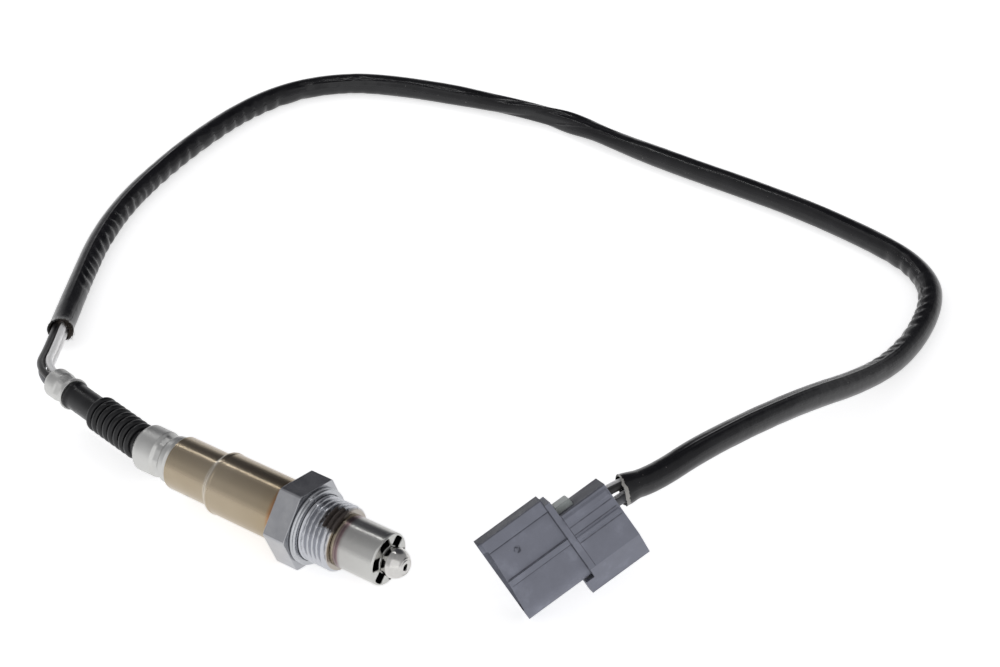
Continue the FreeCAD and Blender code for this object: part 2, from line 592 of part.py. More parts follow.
def plug_placement():
    """Frame of the plug: its origin is the middle of the mouth, and its X axis points out of the mouth."""
    turn = FreeCAD.Rotation(size("Sizes.plug_yaw"), size("Sizes.plug_pitch"), size("Sizes.plug_roll"))
    return FreeCAD.Placement(V(size("Sizes.plug_x"), size("Sizes.plug_y"), size("Sizes.plug_z")), turn)


PLUG_REAR = "(Sizes.shroud_length + Sizes.flange_thickness + Sizes.rear_length)"


def lead_route():
    """Corner points of the lead's centreline, from the contacts to the terminals."""
    start = V(size("Sizes.wire_start"), 0, 0)
    bend = V(size("Sizes.bend_station"), 0, 0)
    leave = tail_placement().multVec(V(-FERRULE_EXIT, 0, 0))
    rear, middle = size(PLUG_REAR), size("Sizes.cavity_centre")
    enter = plug_placement().multVec(V(-rear - PLUG_EXIT, middle, 0))
    grip = plug_placement().multVec(V(-rear + size("Sizes.wire_grip"), middle, 0))
    return [start, bend, leave] + ROUTE + [enter, grip]


def wire_corners(side, up, cavity_side, cavity_up):
    """Corner points of one wire, set off from the lead's route to its place in the bundle."""
    route = lead_route()
    across, over = V(0, 1, 0), V(0, 0, 1)
    spreads = [size("Sizes.grommet_spread")] * 2 + [size("Sizes.ferrule_spread")]
    spreads += [size("Sizes.wire_spread")] * (len(route) - 5)
    corners = []
    for index, spread in enumerate(spreads):
        ahead = (route[index + 1] - route[index]).normalize()
        shift = across * (side * spread) + over * (up * spread)
        if index > 0:
            behind = (route[index] - route[index - 1]).normalize()
            turn = FreeCAD.Rotation(behind, ahead)
            half_turn = behind.getAngle(ahead) / 2
            inward = (ahead - behind * behind.dot(ahead)).normalize()
            shift = across * (side * spread) + over * (up * spread)
            shift = shift - behind * (shift.dot(inward) * math.tan(half_turn))
            across, over = turn.multVec(across), turn.multVec(over)
        corners.append(route[index] + shift)
    spread = size("Sizes.cavity_spread")
    place = plug_placement()
    for reach in (-size(PLUG_REAR) - PLUG_EXIT, -size(PLUG_REAR) + size("Sizes.wire_grip")):
        local = V(reach, size("Sizes.cavity_centre") + cavity_side * spread, cavity_up * spread)
        corners.append(place.multVec(local))
    return corners


def lead_path(corners, first_is_half=False, last_is_half=False, report=None):
    """Straight runs joined by tangent arcs; a half run is one that the path starts or ends midway along."""
    runs = [(b - a).Length for a, b in zip(corners, corners[1:])]
    if first_is_half:
        runs[0] *= 2
    if last_is_half:
        runs[-1] *= 2
    edges, here, radii = [], corners[0], []
    for index in range(1, len(corners) - 1):
        corner = corners[index]
        back = (corners[index - 1] - corner).normalize()
        ahead = (corners[index + 1] - corner).normalize()
        half_turn = (math.pi - back.getAngle(ahead)) / 2
        tangent = ARC_SHARE * min(runs[index - 1], runs[index])
        radius = tangent / math.tan(half_turn)
        radii.append(radius)
        enter, leave = corner + back * tangent, corner + ahead * tangent
        inward = (back + ahead).normalize()
        middle = corner + inward * (radius / math.cos(half_turn) - radius)
        edges.append(Part.LineSegment(here, enter).toShape())
        edges.append(Part.Arc(enter, middle, leave).toShape())
        here = leave
    edges.append(Part.LineSegment(here, corners[-1]).toShape())
    if report:
        print(report, "radii", [round(radius, 1) for radius in radii])
    return Part.Wire(edges)


def swept_tube(path, radius):
    """Round solid along a path."""
    start = path.Edges[0]
    heading = start.tangentAt(start.FirstParameter)
    ring = Part.Wire([Part.Circle(start.valueAt(start.FirstParameter), heading, radius).toShape()])
    solid = path.makePipeShell([ring], True, False)
    wanted = math.pi * radius ** 2 * path.Length
    if abs(solid.Volume - wanted) > 0.005 * wanted:
        raise ValueError("tube volume %.1f, section times length %.1f" % (solid.Volume, wanted))
    return solid


def plain_feature(label, shape):
    feature = doc.addObject("Part::Feature", "Feature_" + label)
    feature.Shape = shape
    feature.Label = label
    return feature


WIRES = [
    ("black", -1, 1, -1, 1), ("white_a", 1, 1, -1, -1),
    ("grey", -1, -1, 1, 1), ("white_b", 1, -1, 1, -1),
]
SLEEVE_FIRST_INDEX = 3
SLEEVE_LAST_INDEX = -3


def lead():
    """The sleeve, and the bare ends of its four wires: at the contacts and at the plug."""
    made = []
    route = lead_route()
    last = len(route) + SLEEVE_LAST_INDEX
    for colour, side, up, cavity_side, cavity_up in WIRES:
        corners = wire_corners(side, up, cavity_side, cavity_up)
        front = corners[:SLEEVE_FIRST_INDEX + 1] + [(corners[SLEEVE_FIRST_INDEX] + corners[SLEEVE_FIRST_INDEX + 1]) * 0.5]
        rear = [(corners[last] + corners[last + 1]) * 0.5] + corners[last + 1:]
        for end, points, halves in (("sensor", front, (False, True)), ("plug", rear, (True, False))):
            path = lead_path(points, *halves)
            made.append(plain_feature("wire_%s_%s_end" % (colour, end), swept_tube(path, size("Sizes.wire_radius"))))
    covered = [(route[SLEEVE_FIRST_INDEX] + route[SLEEVE_FIRST_INDEX + 1]) * 0.5] + route[SLEEVE_FIRST_INDEX + 1:last + 1]
    covered.append((route[last] + route[last + 1]) * 0.5)
    path = lead_path(covered, True, True, "harness_sleeve")
    made.append(plain_feature("harness_sleeve", swept_tube(path, size("Sizes.sleeve_radius"))))
    print("harness_sleeve length %.1f" % path.Length, "wire length %.1f" % lead_path(route).Length)
    return made


# The plug, in its own frame: X out of the mouth, Y across, Z through its thickness
FLANGE_FRONT = "-Sizes.shroud_length"
FLANGE_REAR = "(-Sizes.shroud_length - Sizes.flange_thickness)"
BLOCK_REAR = "-" + PLUG_REAR
SHROUD_TOP = "Sizes.shroud_height / 2"
SHROUD_SIDE = "Sizes.shroud_width / 2"
BLOCK_TOP = "(Sizes.shroud_height / 2 + Sizes.flange_rise)"


def cross_section(body, name, left, right, bottom, top, offset):
    """Rectangle across the plug at a station along it."""
    return outline(body, name, "YZ_Plane", [(left, bottom), (right, bottom), (right, top), (left, top)],
                   offset=offset)


def lengthwise(left, right, bottom, top, *faces):
    """Test for edges along the plug at given corners of its section."""
    corners = {"left": size(left), "right": size(right), "bottom": size(bottom), "top": size(top)}
    wanted = [(corners[side], corners[level]) for side, level in faces]

    def test(edge):
        if len(edge.Vertexes) != 2:
            return False
        one, two = edge.Vertexes[0].Point, edge.Vertexes[1].Point
        if abs(one.y - two.y) + abs(one.z - two.z) > 1e-4:
            return False
        return any(abs(one.y - y) + abs(one.z - z) < 1e-3 for y, z in wanted)
    return test


def connector_housing():
    """Moulded plug: open shroud, flange with a hook, ribbed rear block and four wire cavities."""
    body = new_body("connector_housing", plug_placement())
    side, top = SHROUD_SIDE, SHROUD_TOP
    push(body, cross_section(body, "Shroud", "-" + side, side, "-" + top, top, FLANGE_FRONT),
         "Pad", "Sizes.shroud_length")
    section = ("-" + side, side, "-" + top, top)
    soften(body, "ShroudCurve", "Sizes.shroud_corner",
           lengthwise(*section, ("right", "top"), ("right", "bottom"), ("left", "bottom")))
    soften(body, "KeyCorner", "Sizes.shroud_key_corner", lengthwise(*section, ("left", "top")))
    hollow_side = "(%s - Sizes.shroud_wall)" % side
    hollow_top = "(%s - Sizes.shroud_wall)" % top
    mouth = cross_section(body, "Mouth", "-" + hollow_side, hollow_side, "-" + hollow_top, hollow_top, "0")
    push(body, mouth, "Pocket", "Sizes.shroud_depth")
    hollow = ("-" + hollow_side, hollow_side, "-" + hollow_top, hollow_top)
    soften(body, "MouthCurve", "Sizes.shroud_corner - Sizes.shroud_wall",
           lengthwise(*hollow, ("right", "top"), ("right", "bottom"), ("left", "bottom")))
    flange = cross_section(body, "Flange", "Sizes.flange_left", "Sizes.rear_right", "-" + top, BLOCK_TOP, FLANGE_FRONT)
    push(body, flange, "Pad", "Sizes.flange_thickness", backwards=True)
    block = outline(body, "Block", "YZ_Plane", [
        ("Sizes.rear_left", "-" + top),
        ("Sizes.rear_right", "-" + top),
        ("Sizes.rear_right", BLOCK_TOP + " - Sizes.rear_chamfer"),
        ("Sizes.rear_right - Sizes.rear_chamfer", BLOCK_TOP),
        ("Sizes.rear_left", BLOCK_TOP)], offset=FLANGE_REAR)
    push(body, block, "Pad", "Sizes.rear_length", backwards=True)
    notch = outline(body, "FlangeCorner", "YZ_Plane", [
        ("Sizes.rear_right - Sizes.rear_chamfer", BLOCK_TOP),
        ("Sizes.rear_right", BLOCK_TOP + " - Sizes.rear_chamfer"),
        ("Sizes.rear_right", BLOCK_TOP)], offset=FLANGE_FRONT)
    push(body, notch, "Pocket", "Sizes.flange_thickness")
    inside = "(%s + Sizes.hook_gap)" % side
    slope = "(%s - Sizes.rear_chamfer)" % BLOCK_TOP
    hook = outline(body, "Hook", "YZ_Plane", [
        (inside, "-" + top),
        ("Sizes.rear_right", "-" + top),
        ("Sizes.rear_right", slope),
        (inside, slope + " + Sizes.rear_right - " + inside)], offset=FLANGE_FRONT)
    push(body, hook, "Pad", "Sizes.hook_reach")
    bar = cross_section(body, "KeyBar", "-%s" % side, "-%s + Sizes.key_bar_width" % side,
                        top + " - Sizes.shroud_key_corner", top + " + Sizes.key_bar_height", FLANGE_FRONT)
    push(body, bar, "Pad", "Sizes.shroud_length - Sizes.key_setback")
    rib = cross_section(body, "KeyRib", "Sizes.key_rib_place - Sizes.key_rib_width / 2",
                        "Sizes.key_rib_place + Sizes.key_rib_width / 2", top + " - 0.1",
                        top + " + Sizes.key_rib_height", FLANGE_FRONT)
    push(body, rib, "Pad", "Sizes.shroud_length - Sizes.key_setback")
    for name in ("rear_rib", "rear_bead"):
        place, half, rise = ("Sizes.%s_%s" % (name, part) for part in ("place", "half_width", "rise"))
        ridge = outline(body, name, "YZ_Plane", [
            ("%s - %s" % (place, half), "%s - %s" % (BLOCK_TOP, rise)),
            ("%s - %s / 3" % (place, half), "%s + %s" % (BLOCK_TOP, rise)),
            ("%s + %s / 3" % (place, half), "%s + %s" % (BLOCK_TOP, rise)),
            ("%s + %s" % (place, half), "%s - %s" % (BLOCK_TOP, rise))], offset=FLANGE_REAR)
        push(body, ridge, "Pad", "Sizes.rear_length - Sizes.rear_rib_setback", backwards=True)
    pocket = outline(body, "RetainerSlot", "XZ_Plane", [
        (FLANGE_REAR, SHROUD_TOP + " - Sizes.retainer_drop"),
        (FLANGE_REAR + " - Sizes.retainer_length", SHROUD_TOP + " - Sizes.retainer_drop"),
        (FLANGE_REAR + " - Sizes.retainer_length",
         SHROUD_TOP + " - Sizes.retainer_drop - Sizes.retainer_height"),
        (FLANGE_REAR, SHROUD_TOP + " - Sizes.retainer_drop - Sizes.retainer_height")],
        offset="-Sizes.rear_left")
    push(body, pocket, "Pocket", "Sizes.retainer_tongue + Sizes.slide_gap")
    floor = "(-Sizes.shroud_depth - Sizes.web_depth)"
    for number, (side_sign, up_sign) in enumerate(((-1, -1), (1, -1), (1, 1), (-1, 1))):
        across = "Sizes.cavity_centre + %d * Sizes.cavity_spread" % side_sign
        along = "%d * Sizes.cavity_spread" % up_sign
        bore = disc(body, "Cavity%d" % number, "YZ_Plane", "Sizes.cavity_radius", BLOCK_REAR, across, along)
        push(body, bore, "Pocket", "%s + (%s)" % (PLUG_REAR, floor), backwards=True)
        hole = disc(body, "PinHole%d" % number, "YZ_Plane", "Sizes.pin_hole_radius", floor, across, along)
        push(body, hole, "Pocket", "Sizes.web_depth", backwards=True)
    return body


def connector_retainer():
    """Side lock: a block against the flange with a tongue in the rear block's slot."""
    body = new_body("connector_retainer", plug_placement())
    gap = "Sizes.slide_gap"
    head = outline(body, "Head", "XZ_Plane", [
        (FLANGE_REAR + " - " + gap, SHROUD_TOP + " - Sizes.retainer_drop - " + gap),
        (FLANGE_REAR + " - Sizes.retainer_length + " + gap, SHROUD_TOP + " - Sizes.retainer_drop - " + gap),
        (FLANGE_REAR + " - Sizes.retainer_length + " + gap,
         SHROUD_TOP + " - Sizes.retainer_drop - Sizes.retainer_height + " + gap),
        (FLANGE_REAR + " - " + gap, SHROUD_TOP + " - Sizes.retainer_drop - Sizes.retainer_height + " + gap)],
        offset="-Sizes.rear_left - Sizes.retainer_tongue")
    push(body, head, "Pad", "Sizes.retainer_tongue + Sizes.retainer_width")

    def outer_edge(edge):
        return all(v.Y < size("Sizes.rear_left - Sizes.retainer_width") + 0.01 for v in edge.Vertexes)
    soften(body, "HeadEdges", "Sizes.hex_edge", outer_edge, "Chamfer")
    return body


def terminal_pin(label, side, up):
    """Flat blade in the mouth with a pointed tip, and a barrel crimped round its wire."""
    body = new_body(label, plug_placement())
    across = "(Sizes.cavity_centre + %d * Sizes.cavity_spread)" % side
    along = "%d * Sizes.cavity_spread" % up
    wire_end = "(%s + Sizes.wire_grip)" % BLOCK_REAR
    tip = "-Sizes.pin_tip_depth"
    half = "Sizes.pin_width / 2"
    taper = "Sizes.pin_tip_taper"
    blade = outline(body, "Blade_" + label, "XY_Plane", [
        (wire_end + " + Sizes.pin_height / 2", "%s - %s" % (across, half)),
        (tip + " - " + taper, "%s - %s" % (across, half)),
        (tip, "%s - %s / 3" % (across, half)),
        (tip, "%s + %s / 3" % (across, half)),
        (tip + " - " + taper, "%s + %s" % (across, half)),
        (wire_end + " + Sizes.pin_height / 2", "%s + %s" % (across, half))], offset=along)
    push(body, blade, "Pad", "Sizes.pin_height", both=True)
    hollow = "(Sizes.wire_radius + Sizes.press_gap)"
    barrel = square(body, "Barrel_" + label, "Sizes.cavity_radius / sqrt(2) - Sizes.slide_gap",
                    wire_end + " + Sizes.pin_height", across, along)
    push(body, barrel, "Pad", "Sizes.barrel_length + Sizes.pin_height", backwards=True)
    grip = disc(body, "Grip_" + label, "YZ_Plane", hollow, wire_end, across, along)
    push(body, grip, "Pocket", "Sizes.barrel_length")
    return body


def wire_seal(label, side, up):
    """Rubber seal round a wire, in the rear end of its cavity."""
    across = "(Sizes.cavity_centre + %d * Sizes.cavity_spread)" % side
    along = "(%d * Sizes.cavity_spread)" % up
    place = plug_placement()
    centre = place.multVec(V(0, size(across), size(along)))
    rear = "(%s + Sizes.seal_inset)" % BLOCK_REAR
    bore = "(Sizes.wire_radius + Sizes.press_gap)"
    outside = "(Sizes.cavity_radius - Sizes.press_gap)"
    return turned(label, [(rear, bore), (rear, outside), (rear + " + Sizes.seal_length", outside),
                          (rear + " + Sizes.seal_length", bore)], FreeCAD.Placement(centre, place.Rotation))


# Every piece, in the order in which the sensor goes together
pieces = [
    hex_shell(),
    sealing_gasket(),
    outer_protection_tube(),
    inner_protection_tube(),
    zirconia_element(),
    ceramic_ring("lower_insulator", SEAT, COLLAR_REAR, nose="Sizes.thread_length"),
    ceramic_ring("talc_seal", COLLAR_REAR, TALC_REAR),
    ceramic_ring("upper_insulator", TALC_REAR, UPPER_REAR),
    contact_holder(),
]
for letter, side, up in (("a", -1, 1), ("b", 1, 1), ("c", -1, -1), ("d", 1, -1)):
    pieces.append(contact_spring("contact_spring_" + letter, side, up))
pieces += [housing_tube(), crimp_collar(), wire_grommet(), bellows_boot(), end_ferrule()]
pieces += lead()
pieces += [connector_housing(), connector_retainer()]
for letter, side, up in (("a", -1, 1), ("b", 1, 1), ("c", -1, -1), ("d", 1, -1)):
    pieces.append(terminal_pin("terminal_pin_" + letter, side, up))
    pieces.append(wire_seal("wire_seal_" + letter, side, up))
doc.recompute()

# Nothing is written unless every object is sound
for thing in doc.Objects:
    if "Invalid" in thing.State or "Error" in thing.State:
        raise RuntimeError("%s failed: %s" % (thing.Label, thing.State))
os.makedirs("parts", exist_ok=True)
for piece in pieces:
    shape = piece.Shape
    if shape.isNull() or not shape.isValid() or len(shape.Solids) != 1:
        raise RuntimeError("%s has no single valid solid" % piece.Label)
for piece in pieces:
    piece.Shape.exportStep(os.path.join("parts", piece.Label + ".step"))
print(len(pieces), "pieces written")
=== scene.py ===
"""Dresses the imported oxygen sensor: camera, light, lead, threaded shell, boot, plug and every finish.

Sizes are in millimetres, as in the part's source, and MM turns them into Blender's metres.
Angles round the sensor are counted about +X, from +Y towards +Z.
"""
import bmesh
import bpy
import math
import random
from mathutils import Matrix, Vector, noise

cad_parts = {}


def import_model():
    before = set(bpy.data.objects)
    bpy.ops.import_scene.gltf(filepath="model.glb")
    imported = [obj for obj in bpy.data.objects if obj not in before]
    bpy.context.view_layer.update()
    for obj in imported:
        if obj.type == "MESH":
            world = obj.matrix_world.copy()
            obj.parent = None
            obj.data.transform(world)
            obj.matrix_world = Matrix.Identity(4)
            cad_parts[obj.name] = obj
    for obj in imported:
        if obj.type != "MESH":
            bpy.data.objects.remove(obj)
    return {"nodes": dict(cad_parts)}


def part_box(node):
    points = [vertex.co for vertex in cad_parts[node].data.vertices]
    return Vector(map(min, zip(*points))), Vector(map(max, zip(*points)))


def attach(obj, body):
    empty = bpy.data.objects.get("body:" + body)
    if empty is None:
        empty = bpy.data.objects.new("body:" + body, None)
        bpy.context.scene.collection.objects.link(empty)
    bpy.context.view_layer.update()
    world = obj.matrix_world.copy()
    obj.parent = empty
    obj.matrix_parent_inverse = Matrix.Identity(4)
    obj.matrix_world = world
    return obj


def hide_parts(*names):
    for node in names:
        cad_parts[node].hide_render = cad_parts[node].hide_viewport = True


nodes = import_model()["nodes"]
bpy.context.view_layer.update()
MM = 0.001
TAU = 2 * math.pi


# Camera, floor and light

FLOOR = -11.742
FLOOR_REACH = 4000
DARK_SIDE = (-0.25, 0.68, 0.69)
HORIZON = 0.12
HORIZON_GREY = 0.92
SKY_GREYS = [(0.0, 0.70), (0.52, 0.64), (0.67, 0.46), (0.86, 0.36), (0.92, 0.34), (0.945, 0.10), (1.0, 0.06)]
SENSOR_WIDTH = 36
LENS = 86.4
CAMERA_PLACE = Vector((326.05, -368.31, 377.44)) * MM
CAMERA_RIGHT = Vector((0.8076, 0.5897, 0.0))
CAMERA_UP = Vector((-0.3212, 0.4398, 0.8387))
CAMERA_AHEAD = Vector((-0.4946, 0.6773, -0.5446))
LOOK_AT = Vector((-40, 90, -8)) * MM


def put(name, data):
    """A new object in the scene."""
    thing = bpy.data.objects.new(name, data)
    bpy.context.scene.collection.objects.link(thing)
    return thing


def add_camera():
    """The photograph's viewpoint."""
    data = bpy.data.cameras.new("camera")
    data.sensor_width = SENSOR_WIDTH
    data.lens = LENS
    data.clip_end = 20
    camera = put("camera", data)
    turn = Matrix((CAMERA_RIGHT, CAMERA_UP, -CAMERA_AHEAD)).transposed()
    camera.matrix_world = Matrix.Translation(CAMERA_PLACE) @ turn.to_4x4()
    bpy.context.scene.camera = camera


def add_light(name, place, width, length, power):
    """A soft box that faces the middle of the object, its length along X where it hangs overhead."""
    data = bpy.data.lights.new(name, "AREA")
    data.shape = "RECTANGLE"
    data.size = length
    data.size_y = width
    data.energy = power
    light = put(name, data)
    light.location = LOOK_AT + Vector(place)
    ahead = (LOOK_AT - light.location).normalized()
    along = (Vector((1, 0, 0)) - ahead * ahead.x).normalized()
    light.rotation_euler = Matrix((along, ahead.cross(along) * -1, -ahead)).transposed().to_euler()


def cool(grey):
    """A grey with a trace of blue."""
    return grey, grey, grey + 0.01


def set_ramp(node, stops):
    """Stops (place, grey or colour) on a ramp node."""
    elements = node.color_ramp.elements
    while len(elements) > 1:
        elements.remove(elements[-1])
    elements[0].position = stops[0][0]
    for index, (place, tone) in enumerate(stops):
        element = elements.new(place) if index else elements[0]
        element.color = (*(tone if isinstance(tone, tuple) else (tone,) * 3), 1)


def add_world():
    """Bright in front and round the horizon, dark above and behind, so that metal gets its dark bands."""
    world = bpy.data.worlds.new("studio")
    bpy.context.scene.world = world
    world.use_nodes = True
    tree = world.node_tree
    tree.nodes.clear()
    where, lobe, parts, depth, height, shade, mix, sky, out = (
        tree.nodes.new("ShaderNode" + kind) for kind in (
            "TexCoord", "VectorMath", "SeparateXYZ", "MapRange", "MapRange", "ValToRGB", "Mix", "Background",
            "OutputWorld"))
    lobe.operation = "DOT_PRODUCT"
    lobe.inputs[1].default_value = DARK_SIDE
    depth.inputs["From Min"].default_value = -1.0
    height.inputs["From Min"].default_value = HORIZON
    height.inputs["From Max"].default_value = HORIZON * 2
    set_ramp(shade, [(place, cool(grey)) for place, grey in SKY_GREYS])
    mix.data_type = "RGBA"
    mix.inputs[6].default_value = (*cool(HORIZON_GREY), 1)
    for source, output, target, socket in (
            (where, "Generated", lobe, 0), (where, "Generated", parts, "Vector"),
            (lobe, "Value", depth, "Value"), (depth, "Result", shade, "Fac"), (parts, "Z", height, "Value"),
            (height, "Result", mix, 0), (shade, "Color", mix, 7), (mix, 2, sky, "Color"),
            (sky, "Background", out, "Surface")):
        tree.links.new(source.outputs[output], target.inputs[socket])


def mesh_of(name, points, faces):
    """A mesh of points in millimetres."""
    mesh = bpy.data.meshes.new(name)
    mesh.from_pydata([Vector(point) * MM for point in points], [], faces)
    mesh.validate()
    return mesh


def add_floor():
    corners = ((-1, -1), (1, -1), (1, 1), (-1, 1))
    mesh = mesh_of("floor", [(x * FLOOR_REACH, y * FLOOR_REACH, FLOOR) for x, y in corners], [(0, 1, 2, 3)])
    paint = Finish("pale_floor", (0.93, 0.93, 0.93), 0.9, Specular_IOR_Level=0.1, Emission_Color=(1, 1, 1),
                   Emission_Strength=0.62)
    mesh.materials.append(paint.material)
    put("floor", mesh)


# Finishes

class Value:
    """A shader value or colour; sums, differences, products and quotients of it make Math nodes."""

    def __init__(self, finish, socket):
        self.finish, self.socket = finish, socket

    def __add__(self, other):
        return self.finish.math("ADD", self, other)

    def __sub__(self, other):
        return self.finish.math("SUBTRACT", self, other)

    def __rsub__(self, other):
        return self.finish.math("SUBTRACT", other, self)

    def __mul__(self, other):
        return self.finish.math("MULTIPLY", self, other)

    def __truediv__(self, other):
        return self.finish.math("DIVIDE", self, other)


class Finish:
    """A node material on the object's own coordinates, in millimetres."""

    def __init__(self, name, colour, rough, metal=0.0, **sockets):
        self.material = bpy.data.materials.new(name)
        self.material.use_nodes = True
        self.tree = self.material.node_tree
        self.shader = self.tree.nodes["Principled BSDF"]
        self.height = None
        self.colour(colour)
        self.rough(rough)
        self.metal(metal)
        for socket, value in sockets.items():
            self.feed(self.shader.inputs[socket.replace("_", " ")], value)

    def feed(self, socket, value):
        """Links a shader value to a socket, or sets the socket to a number, a place or a colour."""
        if isinstance(value, Value):
            self.tree.links.new(value.socket, socket)
        elif value is not None:
            socket.default_value = (*value, 1) if socket.type == "RGBA" else value

    def node(self, kind, output, *inputs, **settings):
        """A new node's output, with its settings and inputs given by name and its inputs also in order."""
        made = self.tree.nodes.new("ShaderNode" + kind)
        for key, value in settings.items():
            socket = key.replace("_", " ")
            if socket in made.inputs:
                self.feed(made.inputs[socket], value)
            else:
                setattr(made, key, value)
        for socket, value in zip(made.inputs, inputs):
            self.feed(socket, value)
        return Value(self, made.outputs[output])

    def math(self, kind, *values):
        return self.node("Math", "Value", *values, operation=kind)

    def measure(self, kind, *places):
        """A number that a vector operation gives, such as a length."""
        return self.node("VectorMath", "Value", *places, operation=kind)

    def place(self, stretch=(1, 1, 1), source="Object"):
        """Coordinates in millimetres, stretched along each axis; or the skin's own, around and along."""
        unit = 1000 if source == "Object" else 1
        return self.node("Mapping", "Vector", Vector=self.node("TexCoord", source),
                         Scale=[unit * share for share in stretch])

    def noise(self, scale, detail=3.0, rough=0.55, stretch=(1, 1, 1)):
        return self.node("TexNoise", "Fac", self.place(stretch), Scale=scale, Detail=detail, Roughness=rough)

    def span(self, value, low, high):
        """0 to 1 as a value goes from low to high."""
        return self.node("MapRange", "Result", Value=value, From_Min=low, From_Max=high)

    def axis(self, letter, low, high):
        """0 to 1 from low to high millimetres along one axis."""
        return self.span(self.node("SeparateXYZ", letter, self.place()), low, high)

    def ramp(self, factor, stops):
        shade = self.node("ValToRGB", "Color", factor)
        set_ramp(shade.socket.node, stops)
        return shade

    def fade(self, factor, low, one, high, two):
        """One grey or colour up to a low factor, another from a high one, and shades between."""
        return self.ramp(factor, [(low, one), (high, two)])

    def blend(self, factor, one, two):
        """Mixes two colours by a factor."""
        made = self.node("Mix", 2, factor, data_type="RGBA")
        for index, value in ((6, one), (7, two)):
            self.feed(made.socket.node.inputs[index], value)
        return made

    def ragged(self, centre, stretch, grain, detail, depth):
        """Distance from a place, made uneven by noise."""
        return self.measure("DISTANCE", self.place(stretch), centre) + self.noise(grain, detail) * depth

    def colour(self, value):
        self.tone = value
        self.feed(self.shader.inputs["Base Color"], value)

    def rough(self, value):
        self.feed(self.shader.inputs["Roughness"], value)

    def metal(self, value):
        self.shine = value
        self.feed(self.shader.inputs["Metallic"], value)

    def soot_and_shade(self, radius, reach):
        """Blackens what lies within a radius of the sensor's axis and behind a station: partly soot, partly
        painted shade inside the tubes and the dome's hole.
        """
        inside = self.math("LESS_THAN", self.measure("LENGTH", self.place((0, 1, 1))), radius)
        mask = inside * (1.0 - self.axis("X", reach - 0.08, reach + 0.08))
        self.colour(self.blend(mask, self.tone, (0.006, 0.006, 0.006)))
        self.metal((1.0 - mask) * self.shine)

    def bump(self, value, depth):
        """Relief of a depth in millimetres, added to any that is there."""
        self.height = self.node("Bump", "Normal", Strength=1.0, Distance=depth * MM, Height=value,
                                Normal=self.height)
        self.feed(self.shader.inputs["Normal"], self.height)


def scaled(colour, by, plus=0.0):
    return tuple(min(1, part * by + plus) for part in colour)


def steel(name, light, dark, rough, scratches=0.02):
    """Bare steel: cloudy tone, fine turned lines and worn patches in its gloss."""
    made = Finish(name, light, rough, 1.0)
    cloud = made.noise(0.25, 4)
    fine = made.noise(2.2, 4, 0.65, (6, 0.5, 0.5))
    tone = made.fade(cloud, 0.3, dark, 0.7, light)
    made.colour(made.blend(0.35, tone, made.fade(fine, 0.35, dark, 0.65, light)))
    made.rough(made.fade(cloud * 0.5 + fine * 0.5, 0.3, rough * 0.75, 0.7, rough * 1.3))
    made.bump(fine, scratches)
    return made


def rubber(name, colour, rough, dust=(0.16, 0.16, 0.17)):
    """Moulded rubber: even glossy black with a dull bloom and a few pale specks."""
    made = Finish(name, colour, rough, Specular_IOR_Level=0.38)
    bloom = made.noise(0.25, 4)
    speck = made.noise(2.2, 2, 0.5)
    base = made.fade(bloom, 0.4, colour, 0.75, scaled(colour, 1.6, 0.002))
    made.colour(made.blend(made.fade(speck, 0.76, 0.0, 0.82, 0.8), base, dust))
    made.rough(made.fade(bloom, 0.35, rough * 0.85, 0.7, rough * 1.3))
    return made


def ceramic(name, colour, rough=0.6):
    made = Finish(name, colour, rough)
    made.colour(made.fade(made.noise(0.8, 4), 0.3, scaled(colour, 0.86), 0.7, colour))
    made.bump(made.noise(6, 3), 0.02)
    return made


TUBE_MARK = (-40.6, -6.2, -4.2)
TUBE_TINT = [
    (0.0, (0.40, 0.335, 0.245)), (0.345, (0.41, 0.345, 0.255)), (0.365, (0.60, 0.56, 0.49)),
    (0.392, (0.60, 0.56, 0.49)), (0.41, (0.42, 0.355, 0.265)), (0.8, (0.385, 0.32, 0.23)),
    (0.905, (0.37, 0.30, 0.205)), (0.93, (0.36, 0.20, 0.10)), (0.95, (0.24, 0.10, 0.05)),
    (1.0, (0.10, 0.05, 0.03))]


def tinted_steel(name):
    """Stainless tube gone straw by heat: bright at its step, brown beside the hexagon, one dark mark."""
    made = Finish(name, (0.39, 0.33, 0.24), 0.24, 1.0)
    cloud = made.noise(0.12, 4)
    lines = made.noise(3.0, 5, 0.6, (5, 0.35, 0.35))
    straw = made.ramp(made.axis("X", -48, -8) + (cloud - 0.5) * 0.012, TUBE_TINT)
    straw = made.blend(made.fade(cloud, 0.35, 0.0, 0.7, 0.30), straw, (0.33, 0.27, 0.19))
    straw = made.blend(made.fade(lines, 0.4, 0.0, 0.7, 0.12), straw, (0.24, 0.20, 0.15))
    mark = made.ragged(TUBE_MARK, (1, 1, 1), 2.2, 4, 1.4)
    made.colour(made.blend(made.fade(mark / 3.0, 0.38, 0.9, 0.5, 0.0), straw, (0.035, 0.03, 0.03)))
    made.rough(made.fade(lines, 0.3, 0.19, 0.7, 0.25))
    made.bump(lines, 0.002)
    return made


SMEAR = (11.2, -2.6, 8.4)


